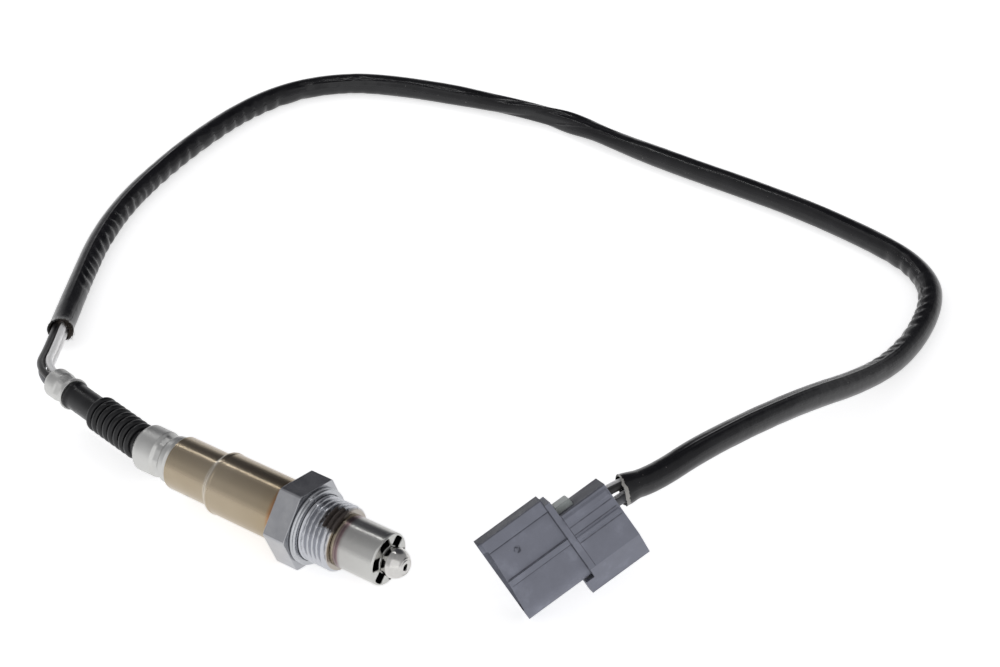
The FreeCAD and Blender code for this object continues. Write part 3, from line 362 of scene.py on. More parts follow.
def shell_steel(name):
    """Zinc-plated steel; dark compound clings to the front threads on their upper side."""
    made = Finish(name, (0.42, 0.425, 0.44), 0.24, 1.0)
    cloud = made.noise(0.3, 4)
    fine = made.noise(4, 4, 0.6)
    zinc = made.fade(cloud, 0.3, (0.37, 0.375, 0.395), 0.7, (0.43, 0.435, 0.45))
    zinc = made.blend(made.axis("X", -0.4, 0.2), zinc, (0.50, 0.51, 0.54))
    mask = made.fade(made.ragged(SMEAR, (1.5, 1, 1), 0.5, 5, 6.0) / 10.0, 0.66, 1.0, 0.76, 0.0)
    mask = mask * made.axis("X", 1.6, 2.4)
    brown = made.fade(fine, 0.35, (0.020, 0.016, 0.015), 0.7, (0.075, 0.058, 0.05))
    tone = made.blend(made.axis("X", 8.2, 9.2), zinc, (0.36, 0.30, 0.22))
    made.colour(made.blend(mask, tone, brown))
    made.metal(made.fade(mask, 0.0, 1.0, 1.0, 0.3))
    made.rough(made.fade(mask * 0.45 + cloud * 0.2, 0.05, 0.2, 0.6, 0.55))
    made.bump(fine, 0.001)
    return made


GUARD_TINT = [
    (0.0, (0.30, 0.25, 0.19)), (0.07, (0.42, 0.37, 0.29)), (0.095, (0.16, 0.11, 0.10)),
    (0.12, (0.24, 0.18, 0.17)), (0.145, (0.12, 0.075, 0.085)), (0.18, (0.22, 0.155, 0.16)),
    (0.21, (0.34, 0.32, 0.31)), (0.26, (0.46, 0.455, 0.44)), (1.0, (0.53, 0.53, 0.51))]


def guard_steel(name):
    """Satin tube: straw, then fine violet-brown rings where it was rolled in, clean towards its end."""
    made = Finish(name, (0.52, 0.51, 0.48), 0.24, 1.0)
    lines = made.noise(3, 4, 0.6, (4, 0.5, 0.5))
    tone = made.ramp(made.axis("X", 8.6, 22.4) + (made.noise(0.35, 4) - 0.5) * 0.02, GUARD_TINT)
    made.colour(made.blend(made.fade(lines, 0.4, 0.0, 0.72, 0.18), tone, (0.30, 0.29, 0.28)))
    # Soot and painted shade: the tube's inside, seen through the slots, is blackened
    made.soot_and_shade(6.95, 22.2)
    made.rough(made.fade(lines, 0.3, 0.2, 0.7, 0.28))
    made.bump(lines, 0.002)
    return made


def dome_steel(name):
    """Polished steel of the inner tube's dome."""
    made = Finish(name, (0.62, 0.61, 0.58), 0.16, 1.0)
    cloud = made.noise(0.9, 4)
    made.colour(made.fade(cloud, 0.3, (0.56, 0.55, 0.53), 0.7, (0.62, 0.61, 0.59)))
    # Soot and painted shade: the dome's base inside the slotted cap and the bore of its hole are blackened
    made.soot_and_shade(20, 22.35)
    made.soot_and_shade(0.9, 40)
    made.rough(made.fade(cloud, 0.3, 0.16, 0.7, 0.2))
    return made


# Where the torn rim starts, along the skin's map
TORN_FROM = 1.7361


def sleeve_weave(name):
    """Varnished sleeve: smooth and glossy, a faint braid under the varnish, creases, scuffs and dust."""
    made = Finish(name, (0.006, 0.006, 0.007), 0.22, Specular_IOR_Level=0.42)
    strands = made.place((34, 520, 1), "UV")
    wrap, along = (made.node("SeparateXYZ", letter, strands) for letter in "XY")
    weave = made.math("SINE", (wrap + along) * math.pi) * made.math("SINE", (wrap - along) * math.pi)
    cloud = made.noise(0.16, 4)
    grit = made.noise(2.6, 4, 0.6)
    speck = made.noise(1.5, 2, 0.4)
    tone = made.fade(cloud, 0.3, (0.0045, 0.0045, 0.0055), 0.7, (0.010, 0.010, 0.0115))
    tone = made.blend(made.fade(grit, 0.6, 0.0, 0.8, 0.35), tone, (0.03, 0.029, 0.03))
    tone = made.blend(made.fade(speck, 0.755, 0.0, 0.80, 0.9), tone, (0.20, 0.19, 0.18))
    share = made.node("SeparateXYZ", "Y", made.place(source="UV"))
    torn = made.math("GREATER_THAN", share + made.noise(1.6, 3) * 0.0016, TORN_FROM)
    made.colour(made.blend(torn, tone, (0.34, 0.33, 0.31)))
    made.rough(made.fade(grit * 0.5 + cloud * 0.5, 0.35, 0.14, 0.65, 0.28))
    made.bump(made.noise(0.5, 3, 0.5), 0.06)
    made.bump(weave, 0.004)
    made.bump(grit, 0.004)
    return made


def wire_skin(name, colour, dirt_and_shade, rough=0.42):
    """Rubbery wire insulation with grime rubbed along it."""
    made = Finish(name, colour, rough)
    grime = made.noise(0.5, 5, 0.6)
    made.colour(made.fade(grime, 0.35, colour, 0.72, dirt_and_shade))
    made.rough(made.fade(grime, 0.3, rough * 0.85, 0.7, rough * 1.35))
    made.bump(made.noise(3, 3), 0.004)
    return made


def fibre(name):
    """Brown-black glass fibres that stand out of the sleeve's cut end."""
    made = Finish(name, (0.03, 0.024, 0.02), 0.45)
    made.colour(made.fade(made.noise(2.5, 3), 0.35, (0.01, 0.008, 0.007), 0.65, (0.11, 0.088, 0.07)))
    return made


def moulded(name, colour, rough=0.5, shine=0.5):
    """Moulded plastic with a spark-eroded texture, slightly chalky where it has been handled."""
    made = Finish(name, colour, rough, Specular_IOR_Level=shine)
    cloud = made.noise(0.16, 5, 0.6)
    tone = made.ramp(cloud, [(0.3, scaled(colour, 0.9)), (0.55, colour), (0.75, scaled(colour, 1.25, 0.01))])
    speck = made.fade(made.noise(1.4, 2, 0.4), 0.76, 0.0, 0.83, 0.4)
    made.colour(made.blend(speck, tone, (0.4, 0.4, 0.4)))
    made.rough(made.fade(cloud, 0.3, rough * 0.85, 0.7, rough * 1.2))
    made.bump(made.noise(5, 3), 0.02)
    made.bump(made.noise(0.5, 3), 0.03)
    return made


# Painted shade beside the plug's ribs: the axis across it, its place and width, the axis along it, its start
# and end
PLUG_SHADE_LINES = [
    ("Y", -8.15, 0.30, "X", -19.3, -1.2), ("Y", 0.05, 0.28, "X", -19.3, -1.4),
    ("Y", 1.95, 0.12, "X", -19.3, -1.4), ("X", -19.15, 0.28, "Y", -11.6, 12.0),
    ("Y", -5.45, 0.2, "X", -34.0, -21.0), ("Y", -1.7, 0.25, "X", -34.0, -21.0),
    ("Y", 0.5, 0.25, "X", -34.0, -21.0), ("Y", 2.9, 0.25, "X", -34.0, -21.0),
    ("X", -21.05, 0.16, "Y", -5.7, 9.6)]
PLUG_MARK = (-7.6, -5.0)


def plug_plastic(name):
    """The plug's grey plastic, with painted shade beside its ribs, on its side walls and inside its mouth,
    and a bare mark.
    """
    made = moulded(name, (0.182, 0.190, 0.228), 0.62, 0.2)
    origin = PLUG.to_translation()
    x, y, z = (made.measure("DOT_PRODUCT", made.place(), column) - origin.dot(column)
               for column in PLUG.to_3x3().transposed())

    def band(value, low, high, soft):
        return made.span(value, low - soft, low + soft) * made.span(value, high + soft, high - soft)

    # Painted shade along the foot of each rib, broken up by noise
    dirt_and_shade = None
    for across, place, wide, along, low, high in PLUG_SHADE_LINES:
        across, along = (x, y) if across == "X" else (y, x)
        line = band(across, place - wide / 2, place + wide / 2, wide / 2) * band(along, low, high, 0.3)
        dirt_and_shade = line if dirt_and_shade is None else made.math("MAXIMUM", dirt_and_shade, line)
    dirt_and_shade = dirt_and_shade * made.fade(made.noise(0.6, 4), 0.25, 0.45, 0.7, 0.9)
    tone = made.blend(dirt_and_shade, made.tone, (0.022, 0.023, 0.030))
    # Painted shade on the side walls of the front shroud and the rear block, which face away from the light
    front_wall_shade = made.span(y, -11.25, -11.6) * made.span(x, -21.2, -20.9)
    rear_wall_shade = made.span(y, -5.3, -5.6) * made.span(x, -20.9, -21.2)
    tone = made.blend(made.math("MAXIMUM", front_wall_shade, rear_wall_shade) * 0.75, tone, (0.045, 0.046, 0.055))
    # Painted shade inside the plug's mouth
    mouth = band(z, -4.6, 4.6, 0.12) * band(y, -10.3, 10.3, 0.12) * made.span(x, -13.3, -12.8)
    tone = made.blend(mouth * 0.85, tone, (0.02, 0.02, 0.026))
    off = made.math("POWER", x - PLUG_MARK[0], 2.0) + made.math("POWER", y - PLUG_MARK[1], 2.0)
    ring = (made.ramp(off / 2.0, [(0.0, 0.45), (0.22, 0.9), (0.42, 0.5), (0.62, 0.0)])
            * made.fade(made.noise(1.3, 4), 0.42, 0.15, 0.52, 1.0))
    made.colour(made.blend(ring * made.span(z, 4.9, 5.1), tone, (0.03, 0.03, 0.04)))
    return made


# The record's slot or the scene's own name, the function that makes it and what that is given
FINISHES = [
    ("tinted_steel", tinted_steel), ("shell_steel", shell_steel), ("guard_steel", guard_steel),
    ("dome_steel", dome_steel), ("sleeve", sleeve_weave), ("fibre", fibre), ("plug_plastic", plug_plastic),
    ("gasket_steel", steel, (0.52, 0.53, 0.55), (0.42, 0.43, 0.45), 0.26, 0.006),
    ("collar_steel", steel, (0.60, 0.60, 0.585), (0.54, 0.54, 0.525), 0.4, 0.003),
    ("contact_steel", steel, (0.62, 0.62, 0.60), (0.45, 0.45, 0.44), 0.3),
    ("pin_metal", steel, (0.72, 0.71, 0.68), (0.52, 0.51, 0.48), 0.25),
    ("black_rubber", rubber, (0.004, 0.004, 0.005), 0.3, (0.05, 0.05, 0.05)),
    ("seal_rubber", rubber, (0.10, 0.11, 0.12), 0.5),
    ("wire_black", wire_skin, (0.008, 0.008, 0.010), (0.03, 0.028, 0.026), 0.34),
    ("wire_grey", wire_skin, (0.16, 0.165, 0.18), (0.12, 0.12, 0.125)),
    ("wire_white", wire_skin, (0.93, 0.93, 0.93), (0.84, 0.83, 0.82), 0.3),
    ("lock_plastic", moulded, (0.33, 0.36, 0.35)), ("element_ceramic", ceramic, (0.82, 0.80, 0.74)),
    ("insulator_ceramic", ceramic, (0.78, 0.76, 0.71)), ("talc", ceramic, (0.62, 0.62, 0.58), 0.9),
]


# Mesh helpers

def add_piece(name, mesh, slot, stands_for=(), crease=35):
    """Puts a mesh in the scene as a piece: smooth between its creases, finished and riding on the body."""
    for polygon in mesh.polygons:
        polygon.use_smooth = True
    mesh.set_sharp_from_angle(angle=math.radians(crease))
    piece = put(name, mesh)
    mesh.materials.clear()
    mesh.materials.append(finishes[slot])
    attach(piece, "root")
    if stands_for:
        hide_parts(*stands_for)
    return piece


def between(here, there, count):
    """Faces between two rings of points, each given by the index of its first point."""
    return [(here + step, here + (step + 1) % count, there + (step + 1) % count, there + step)
            for step in range(count)]


def skin(name, rings):
    """A closed skin over rings of points, the last of which joins the first."""
    count = len(rings[0])
    faces = []
    for row in range(len(rings)):
        faces += between(row * count, (row + 1) % len(rings) * count, count)
    return mesh_of(name, [point for ring in rings for point in ring], faces)


def join_meshes(name, parts):
    """One mesh from several."""
    combined = bmesh.new()
    for part in parts:
        combined.from_mesh(part)
    mesh = bpy.data.meshes.new(name)
    combined.to_mesh(mesh)
    combined.free()
    return mesh


def rounded(corners, segments=5, origin=0.0):
    """Outline of stations from an origin, and radii; a corner's third number is the radius that rounds it."""
    points = []
    count = len(corners)
    corners = [(origin + station, *rest) for station, *rest in corners]
    for index, corner in enumerate(corners):
        here = Vector(corner[:2])
        if len(corner) < 3:
            points.append(here)
            continue
        back = Vector(corners[index - 1][:2]) - here
        ahead = Vector(corners[(index + 1) % count][:2]) - here
        half = back.angle(ahead) / 2
        tangent = min(corner[2] / math.tan(half), 0.49 * min(back.length, ahead.length))
        radius = tangent * math.tan(half)
        centre = here + (back.normalized() + ahead.normalized()).normalized() * (radius / math.sin(half))
        start = here + back.normalized() * tangent - centre
        end = here + ahead.normalized() * tangent - centre
        sweep = start.angle_signed(end)
        for step in range(segments + 1):
            spoke = start.copy()
            spoke.rotate(Matrix.Rotation(-sweep * step / segments, 2))
            points.append(centre + spoke)
    return points


def spaced(points, longest, past=-1000.0, least=0.0):
    """The same closed outline with no side longer than the given one, past a station and outside a radius."""
    filled = []
    for here, there in zip(points, points[1:] + points[:1]):
        parts = max(1, math.ceil((there - here).length / longest))
        if min(here.x, there.x) < past or min(here.y, there.y) < least:
            parts = 1
        filled += [here.lerp(there, part / parts) for part in range(parts)]
    return filled


def around(x, radius, angle):
    return Vector((x, radius * math.cos(angle), radius * math.sin(angle)))


def turned_rings(outline, steps=128, place=Matrix(), reach=None):
    """Rings of an outline turned about X; reach(x, radius, angle) may change each point's radius."""
    angles = [TAU * step / steps for step in range(steps)]
    return [[place @ around(x, reach(x, radius, angle) if reach else radius, angle) for angle in angles]
            for x, radius in outline]


def pressed(x, radius, angle, least, place, reach, sides, flat):
    """Radius with flats pressed in round a station, left alone where it is below the least."""
    amount = math.exp(-((x - place) / reach) ** 4)
    off = angle % (TAU / sides) - TAU / sides / 2
    return radius + (min(radius, flat / math.cos(off)) - radius) * amount if radius > least else radius


def turned(name, outline, slot, stands_for=(), steps=128, place=Matrix(), reach=None, crease=35):
    return add_piece(name, skin(name, turned_rings(outline, steps, place, reach)), slot, stands_for, crease)


# The lead

BEND = Vector((-60.5, 0, 0))
TAIL = Matrix.Translation(BEND) @ Matrix.Rotation(math.radians(-10.4), 4, "Z")
PLUG = (Matrix.Translation((49.25, 11.33, -1.22)) @ Matrix.Rotation(math.radians(-119), 4, "Z")
        @ Matrix.Rotation(math.radians(26.9), 4, "Y") @ Matrix.Rotation(math.radians(-55.6), 4, "X"))
PLUG_LENGTH = 34.5
PLUG_EXIT = 3
WIRE_GRIP = 8
PLUG_STATIONS = (-PLUG_LENGTH - PLUG_EXIT, -PLUG_LENGTH + WIRE_GRIP)
LEAD_START = -40
FERRULE_EXIT = 49.2
CAVITY_CENTRE = -1
ROUTE = [Vector(point) for point in (
    (-118.8, 21.9, -3.5), (-136, 45.3, -7.8), (-164.4, 92, -8.1), (-175.7, 138, -8.1), (-179, 178.5, -8.1),
    (-170.5, 203.5, -8.1), (-150.5, 219, -8.1), (-92.5, 233.8, -8.1), (-45, 228.5, -8.1), (6, 228.5, -8.1),
    (47, 222, -8.1), (63.5, 213, -8.1), (71.8, 199.5, -8.1), (76.8, 177.5, -8.1), (78.3, 151, -4.5),
    (74.7, 110, 7.8), (70.6, 71, 14.6), (67.9, 50.6, 14.6))]
LEAD = ([Vector((LEAD_START, 0, 0)), BEND, TAIL @ Vector((-FERRULE_EXIT, 0, 0))] + ROUTE
        + [PLUG @ Vector((station, CAVITY_CENTRE, 0)) for station in PLUG_STATIONS])
FERRULE_INSIDE = 32.5
WIRE_EXIT = 49.9
WIRE_LEAD = LEAD[:2] + [TAIL @ Vector((-WIRE_EXIT, 0, 0))] + LEAD[3:]

WIRE_RADIUS = 1.025
SPREADS = [1.45, 1.45, 1.2] + [1.1] * (len(LEAD) - 5)
CAVITY_SPREAD = 1.9
WIRES = [
    ("black", "wire_black", -1, 1, -1, 1), ("white_a", "wire_white", 1, 1, -1, -1),
    ("grey", "wire_grey", -1, -1, 1, 1), ("white_b", "wire_white", 1, -1, 1, -1),
]


def wire_points(side, up, cavity_side, cavity_up):
    """One wire's points: the lead's own, each set off to the wire's place in the bundle."""
    across, over = Vector((0, 1, 0)), Vector((0, 0, 1))
    points = []
    for index, spread in enumerate(SPREADS):
        ahead = (WIRE_LEAD[index + 1] - WIRE_LEAD[index]).normalized()
        shift = across * (side * spread) + over * (up * spread)
        if index > 0:
            behind = (WIRE_LEAD[index] - WIRE_LEAD[index - 1]).normalized()
            turn = behind.rotation_difference(ahead)
            inward = (ahead - behind * behind.dot(ahead)).normalized()
            shift -= behind * (shift.dot(inward) * math.tan(behind.angle(ahead) / 2))
            across, over = turn @ across, turn @ over
        points.append(WIRE_LEAD[index] + shift)
    cavity = (CAVITY_CENTRE + cavity_side * CAVITY_SPREAD, cavity_up * CAVITY_SPREAD)
    points += [PLUG @ Vector((station, *cavity)) for station in PLUG_STATIONS]
    inside = points[1].lerp(points[2], FERRULE_INSIDE / WIRE_EXIT)
    return points[:2] + [inside] + points[2:]


def smooth_curve(name, points, radius=0.0, fineness=16):
    """NURBS curve with the points as its control points."""
    data = bpy.data.curves.new(name, "CURVE")
    data.dimensions = "3D"
    data.resolution_u = fineness
    data.bevel_depth = radius * MM
    data.bevel_resolution = 5
    data.use_fill_caps = radius > 0
    spline = data.splines.new("NURBS")
    spline.points.add(len(points) - 1)
    for control, point in zip(spline.points, points):
        control.co = (*(point * MM), 1)
    spline.order_u = 3
    spline.use_endpoint_u = True
    return put(name, data)


def read_line(points):
    """Points in millimetres along the NURBS spline of the given control points."""
    curve = smooth_curve("line", points, fineness=24)
    mesh = bpy.data.meshes.new_from_object(curve)
    line = [vertex.co / MM for vertex in mesh.vertices]
    bpy.data.objects.remove(curve)
    bpy.data.meshes.remove(mesh)
    return line


def nearest(line, point):
    return min(range(len(line)), key=lambda index: (line[index] - point).length)


def length_of(line):
    return sum((b - a).length for a, b in zip(line, line[1:]))


def even_line(line, gap):
    """The same line read at equal distances."""
    runs = [(b - a).length for a, b in zip(line, line[1:])]
    total = sum(runs)
    count = round(total / gap)
    points, gone, index = [], 0.0, 0
    for step in range(count + 1):
        distance = total * step / count
        while index < len(runs) - 1 and gone + runs[index] < distance:
            gone += runs[index]
            index += 1
        points.append(line[index].lerp(line[index + 1], min(1.0, (distance - gone) / runs[index])))
    return points


# The sleeve's section, and where along it (0 to 1) it is twisted, wrinkled or ridged
SLEEVE_WALL = 0.45
SLEEVE_HALF_WIDTH = 3.68
SLEEVE_HALF_HEIGHT = 3.42
# The least half width that the wires leave it, at their sides, and what their corners add
BUNDLE_SIDE = 2.62
BUNDLE_CORNER = 0.45
SLEEVE_TWIST = (0.405, 0.485, math.pi)
# Start, end, angle that they face, depth and pitch
WRINKLES = [
    (0.035, 0.15, 0.1, 0.95, 4.4), (0.13, 0.31, -0.1, 0.75, 6.2), (0.30, 0.345, 0.1, 0.4, 5.2),
    (0.655, 0.72, math.pi + 0.15, 0.6, 6.5), (0.71, 0.82, math.pi + 0.25, 1.0, 5.2)]
# Start, end, angle and height of the fold lines that run along it
RIDGES = [(0.27, 0.41, 0.76, 0.34), (0.385, 0.50, 0.9, 0.34), (0.385, 0.50, 4.1, 0.34),
          (0.60, 0.71, math.pi + 1.1, 0.3), (0.77, 0.975, math.pi + 1.7, 0.3), (0.02, 0.2, 1.5, 0.25)]
RIDGE_WIDTH = 0.09
SLEEVE_STEPS = 72
SLEEVE_ROW = 0.9
STRANDS = 300


def ease(value, low, high):
    """0 below low, 1 above high, smooth between."""
    share = max(0.0, min(1.0, (value - low) / (high - low)))
    return share * share * (3 - 2 * share)


def sleeve_radius(share, angle, length):
    """Outer radius of the sleeve at an angle round it, counted from its inner side."""
    across, over = math.cos(angle), math.sin(angle)
    start, end, _ = SLEEVE_TWIST
    flat = 0.85 * ease(share, start - 0.03, start + 0.02) * (1 - ease(share, end - 0.01, end + 0.04))
    radius = 1 / math.sqrt((across / (SLEEVE_HALF_WIDTH + 0.15 * flat)) ** 2
                           + (over / (SLEEVE_HALF_HEIGHT - flat)) ** 2)
    for start, end, facing, depth, pitch in WRINKLES:
        inside = ease(share, start, start + 0.015) * (1 - ease(share, end - 0.015, end))
        if inside > 0:
            place = share * length / pitch + 1.1 * noise.noise(Vector((share * 30, 3.1, across * 0.6)))
            fold = (1 - abs(math.sin(math.pi * place))) ** 1.3
            toward = max(0.0, math.cos(angle - facing)) ** 1.2
            uneven = 0.75 + 0.9 * noise.noise(Vector((share * 50, over, 5)))
            radius -= inside * depth * fold * toward * uneven
    for start, end, place, rise in RIDGES:
        inside = ease(share, start, start + 0.03) * (1 - ease(share, end - 0.02, end))
        if inside > 0:
            wander = place + 0.12 * noise.noise(Vector((share * 24, 7, 0)))
            off = (angle - wander + math.pi) % TAU - math.pi
            radius += inside * rise * math.exp(-(off / RIDGE_WIDTH) ** 2)
    radius += 0.11 * noise.noise(Vector((share * 26, across * 0.8, over * 0.8)))
    radius += 0.04 * noise.noise(Vector((share * 130, across * 2.5, over * 2.5)))
    return radius


def sleeve_lines(line):
    """Tangent, side and up at each point of the line, with the side kept level with the floor."""
    frames = []
    for index in range(len(line)):
        ahead = (line[min(index + 1, len(line) - 1)] - line[max(index - 1, 0)]).normalized()
        side = ahead.cross(Vector((0, 0, 1))).normalized()
        frames.append((ahead, side, side.cross(ahead)))
    return frames


def add_sleeve(line):
    """Hollow varnished sleeve: flattened, wrinkled and twisted, frayed at one end and torn at the other."""
    total = length_of(line)
    start, end, turn = SLEEVE_TWIST
    count = len(line)
    rings = []
    for index, (ahead, side, up) in enumerate(sleeve_lines(line)):
        share = index / (count - 1)
        twist = turn * ease(share, start, end)
        pinch = 1 - 0.13 * math.exp(-((share - (start + end) / 2) / 0.012) ** 2)
        flare = 1 + 0.16 * ease(share, 0.992, 1.0) + 0.06 * (1 - ease(share, 0.0, 0.004))
        ring = []
        for step in range(SLEEVE_STEPS):
            angle = TAU * step / SLEEVE_STEPS
            turned_angle = angle + twist
            least = BUNDLE_SIDE + BUNDLE_CORNER * math.sin(2 * turned_angle) ** 2
            radius = max(sleeve_radius(share, angle, total) * pinch, least) * flare
            along = 0.0
            if index == count - 1:
                along = 1.3 * math.cos(angle) + 0.5 * noise.noise(around(9, 3, angle).yzx)
            if index == 0:
                along = -0.5 * noise.noise(around(2, 5, angle).yzx)
            point = (side * math.cos(turned_angle) + up * math.sin(turned_angle)) * radius
            ring.append(line[index] + point + ahead * along)
        rings.append(ring)
    inner = [[point + (middle - point).normalized() * SLEEVE_WALL for point in ring]
             for middle, ring in zip(line, rings)]
    mesh = skin("woven_sleeve", rings + inner[::-1])
    write_skin_map(mesh, count, total)
    piece = add_piece("woven_sleeve", mesh, "sleeve", ["harness_sleeve"], crease=60)
    line[0] * MM
    [point * MM for point in line]


def write_skin_map(mesh, count, total):
    """Map of the sleeve's skin: 1 across is once round it, and 1 along is fifteen times that."""
    layer = mesh.uv_layers.new(name="skin")
    girth = TAU * SLEEVE_HALF_WIDTH
    for polygon in mesh.polygons:
        steps = [mesh.loops[index].vertex_index % SLEEVE_STEPS for index in polygon.loop_indices]
        wraps = max(steps) - min(steps) > SLEEVE_STEPS / 2
        for index, step in zip(polygon.loop_indices, steps):
            row = mesh.loops[index].vertex_index // SLEEVE_STEPS
            row = row if row < count else 2 * count - 1 - row
            turn = step / SLEEVE_STEPS + (wraps and step == 0)
            layer.data[index].uv = (turn, row / (count - 1) * total / girth / 15)


def add_wires():
    for label, slot, *places in WIRES:
        points = wire_points(*places)
        wire = smooth_curve("wire_" + label, points, WIRE_RADIUS)
        wire.data.materials.append(finishes[slot])
        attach(wire, "root")
        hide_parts("wire_%s_sensor_end" % label, "wire_%s_plug_end" % label)
        points[0] * MM
        length_of(read_line(points)) * MM


def add_fibres(line):
    """Frayed strands round the sleeve's end by the sensor, thickest on its lower side."""
    pick = random.Random(4)
    ahead, side, up = sleeve_lines(line)[0]
    points, faces = [], []
    for strand in range(STRANDS):
        angle = pick.gauss(0.35, 0.6) if strand % 4 else pick.uniform(0, TAU)
        out = side * math.cos(angle) + up * math.sin(angle)
        tangent = ahead.cross(out)
        here = line[0] + out * pick.uniform(3.0, 3.85) + ahead * pick.uniform(0.0, 0.8)
        drift = (-ahead * pick.uniform(0.5, 1.0) + out * pick.uniform(-0.45, 0.25)
                 + tangent * pick.uniform(-0.6, 0.6))
        length = pick.uniform(1.0, 2.8) if abs(angle - 0.3) < 1.2 else pick.uniform(0.5, 1.4)
        half = pick.uniform(0.06, 0.12)
        bend = (out * pick.uniform(-0.5, 0.4) + tangent * pick.uniform(-0.5, 0.5)) * length * 0.5
        first = len(points)
        for step in range(4):
            share = step / 3
            middle = here + drift * (length * share) + bend * share * share
            for turn in (0.0, TAU / 3, TAU * 2 / 3):
                off = (out * math.cos(turn) + tangent * math.sin(turn)) * half * (1 - 0.5 * share)
                points.append(middle + off)
        for step in range(3):
            faces += between(first + step * 3, first + step * 3 + 3, 3)
        faces += [(first + 2, first + 1, first), (first + 9, first + 10, first + 11)]
    piece = add_piece("frayed_strands", mesh_of("frayed_strands", points, faces), "sleeve", crease=180)
    piece.data.materials[0] = finishes["fibre"]


# Shell and gasket

HEX_FLATS = 22
HEX_ROLL = math.radians(-7.6)
HEX_FRONT = -1.8
HEX_REAR = -8.7
HEX_BORE = 8.3
HEX_CORNER = HEX_FLATS / 2 / math.cos(math.pi / 6)
THREAD_PITCH = 1.5
THREAD_RADIUS = 9
THREAD_DEPTH = 0.92
THREAD_INSIDE = 8
THREAD_CONE = 0.8
THREAD_END = 8.8
THREAD_START = 0.1


def thread_reach(x, radius, angle):
    """Radius of the M18 thread, run out at its start and cut by the lead-in cone at its end."""
    if not THREAD_START <= x <= THREAD_END - 0.01 or radius < THREAD_INSIDE:
        return radius
    turn = (x / THREAD_PITCH - angle / TAU) % 1.0
    rise = 1 - abs(2 * turn - 1)
    height = max(0.0, min(1.0, (rise - 0.14) / 0.68))
    depth = THREAD_DEPTH * ease(x, THREAD_START, THREAD_START + 1.2)
    return min(THREAD_RADIUS - depth * (1 - height), THREAD_RADIUS - THREAD_CONE + (THREAD_END - x))


def hexagon_rings():
    """The hexagon as rings along X, its corners blunted and its ends cut by a shallow cone."""
    angles = []
    for side in range(6):
        corner = TAU * side / 6 + HEX_ROLL
        for share in (0.0, 0.006, 0.02, 0.05, 0.12, 0.25, 0.4, 0.5, 0.6, 0.75, 0.88, 0.95, 0.98, 0.994):
            angles.append(corner + share * TAU / 6)
    stations = [0.0, 0.04, 0.12, 0.25, 0.45, 0.8, 2.0]
    length = HEX_FRONT - HEX_REAR
    stations += [length - station for station in reversed(stations)]
    rings = []
    for station in stations:
        near = min(station, length - station)
        ring = []
        for angle in angles:
            off = (angle - HEX_ROLL) % (TAU / 6) - TAU / 12
            radius = min(HEX_FLATS / 2 / math.cos(off), HEX_CORNER - 0.16, 12.35 + near * 1.6)
            radius -= 0.10 * (1 - ease(near, 0.0, 0.15))
            ring.append(around(HEX_FRONT - station, radius, angle))
        rings.append(ring)
    inner = [[Vector((point.x, HEX_BORE * point.y / point.yz.length, HEX_BORE * point.z / point.yz.length))
              for point in ring] for ring in (rings[-1], rings[0])]
    return rings + inner


def add_shell():
    core = rounded([
        (11.4, 4.2, 0.2), (11.4, 6.75, 0.3), (THREAD_END, 6.75, 0.1),
        (THREAD_END, THREAD_RADIUS - THREAD_CONE), (THREAD_START, THREAD_RADIUS), (0.0, 8.5), (HEX_REAR, 8.5),
        (HEX_REAR, 8.08, 0.1), (-16.7, 8.08, 0.3), (-16.7, 5.6), (-2.5, 5.6), (-2.5, 4.2)])
    core = spaced(core, 0.07, THREAD_START - 0.01, THREAD_INSIDE)
    core = skin("core", turned_rings(core, 192, reach=thread_reach))
    mesh = join_meshes("threaded_shell", [core, skin("hexagon", hexagon_rings())])
    add_piece("threaded_shell", mesh, "shell_steel", ["hex_shell"], crease=24)


def add_gasket():
    outline = rounded([
        (-1.78, 9.2, 0.1), (-1.78, 10.35, 0.35), (-1.30, 10.52, 0.3), (-0.93, 10.12, 0.12),
        (-0.55, 10.5, 0.3), (-0.02, 10.3, 0.35), (-0.02, 9.2, 0.2), (-0.45, 8.65, 0.1), (-1.35, 8.65, 0.1)])
    turned("folded_gasket", outline, "gasket_steel", ["sealing_gasket"], steps=160)


# Protection tube's dome

GUARD_REAR = 8.95
GUARD_END = 22.4
GUARD_RADIUS = 7.2
GUARD_WALL = 0.4
GUARD_RIM = 0.55
SLOTS = 6
SLOT_PHASE = math.radians(44.3)
SLOT_HALF_WIDTH = 1.7
SLOT_INNER = 3.76
SLOT_OUTER = 6.6
SLOT_CORNER = 0.5
HUB_HOLE = 3.62
DOME_CENTRE = GUARD_END + 2.0
DOME_RADIUS = 4.1
DOME_NECK = 3.42
DOME_FACE = GUARD_END + 5.3


def slot_edge(radius):
    """Half width of a slot at a radius, its four corners rounded."""
    radius = max(SLOT_INNER, min(SLOT_OUTER, radius))
    into = min(radius - SLOT_INNER, SLOT_OUTER - radius)
    short = max(0.0, SLOT_CORNER - into)
    return SLOT_HALF_WIDTH - SLOT_CORNER + math.sqrt(SLOT_CORNER ** 2 - short ** 2)


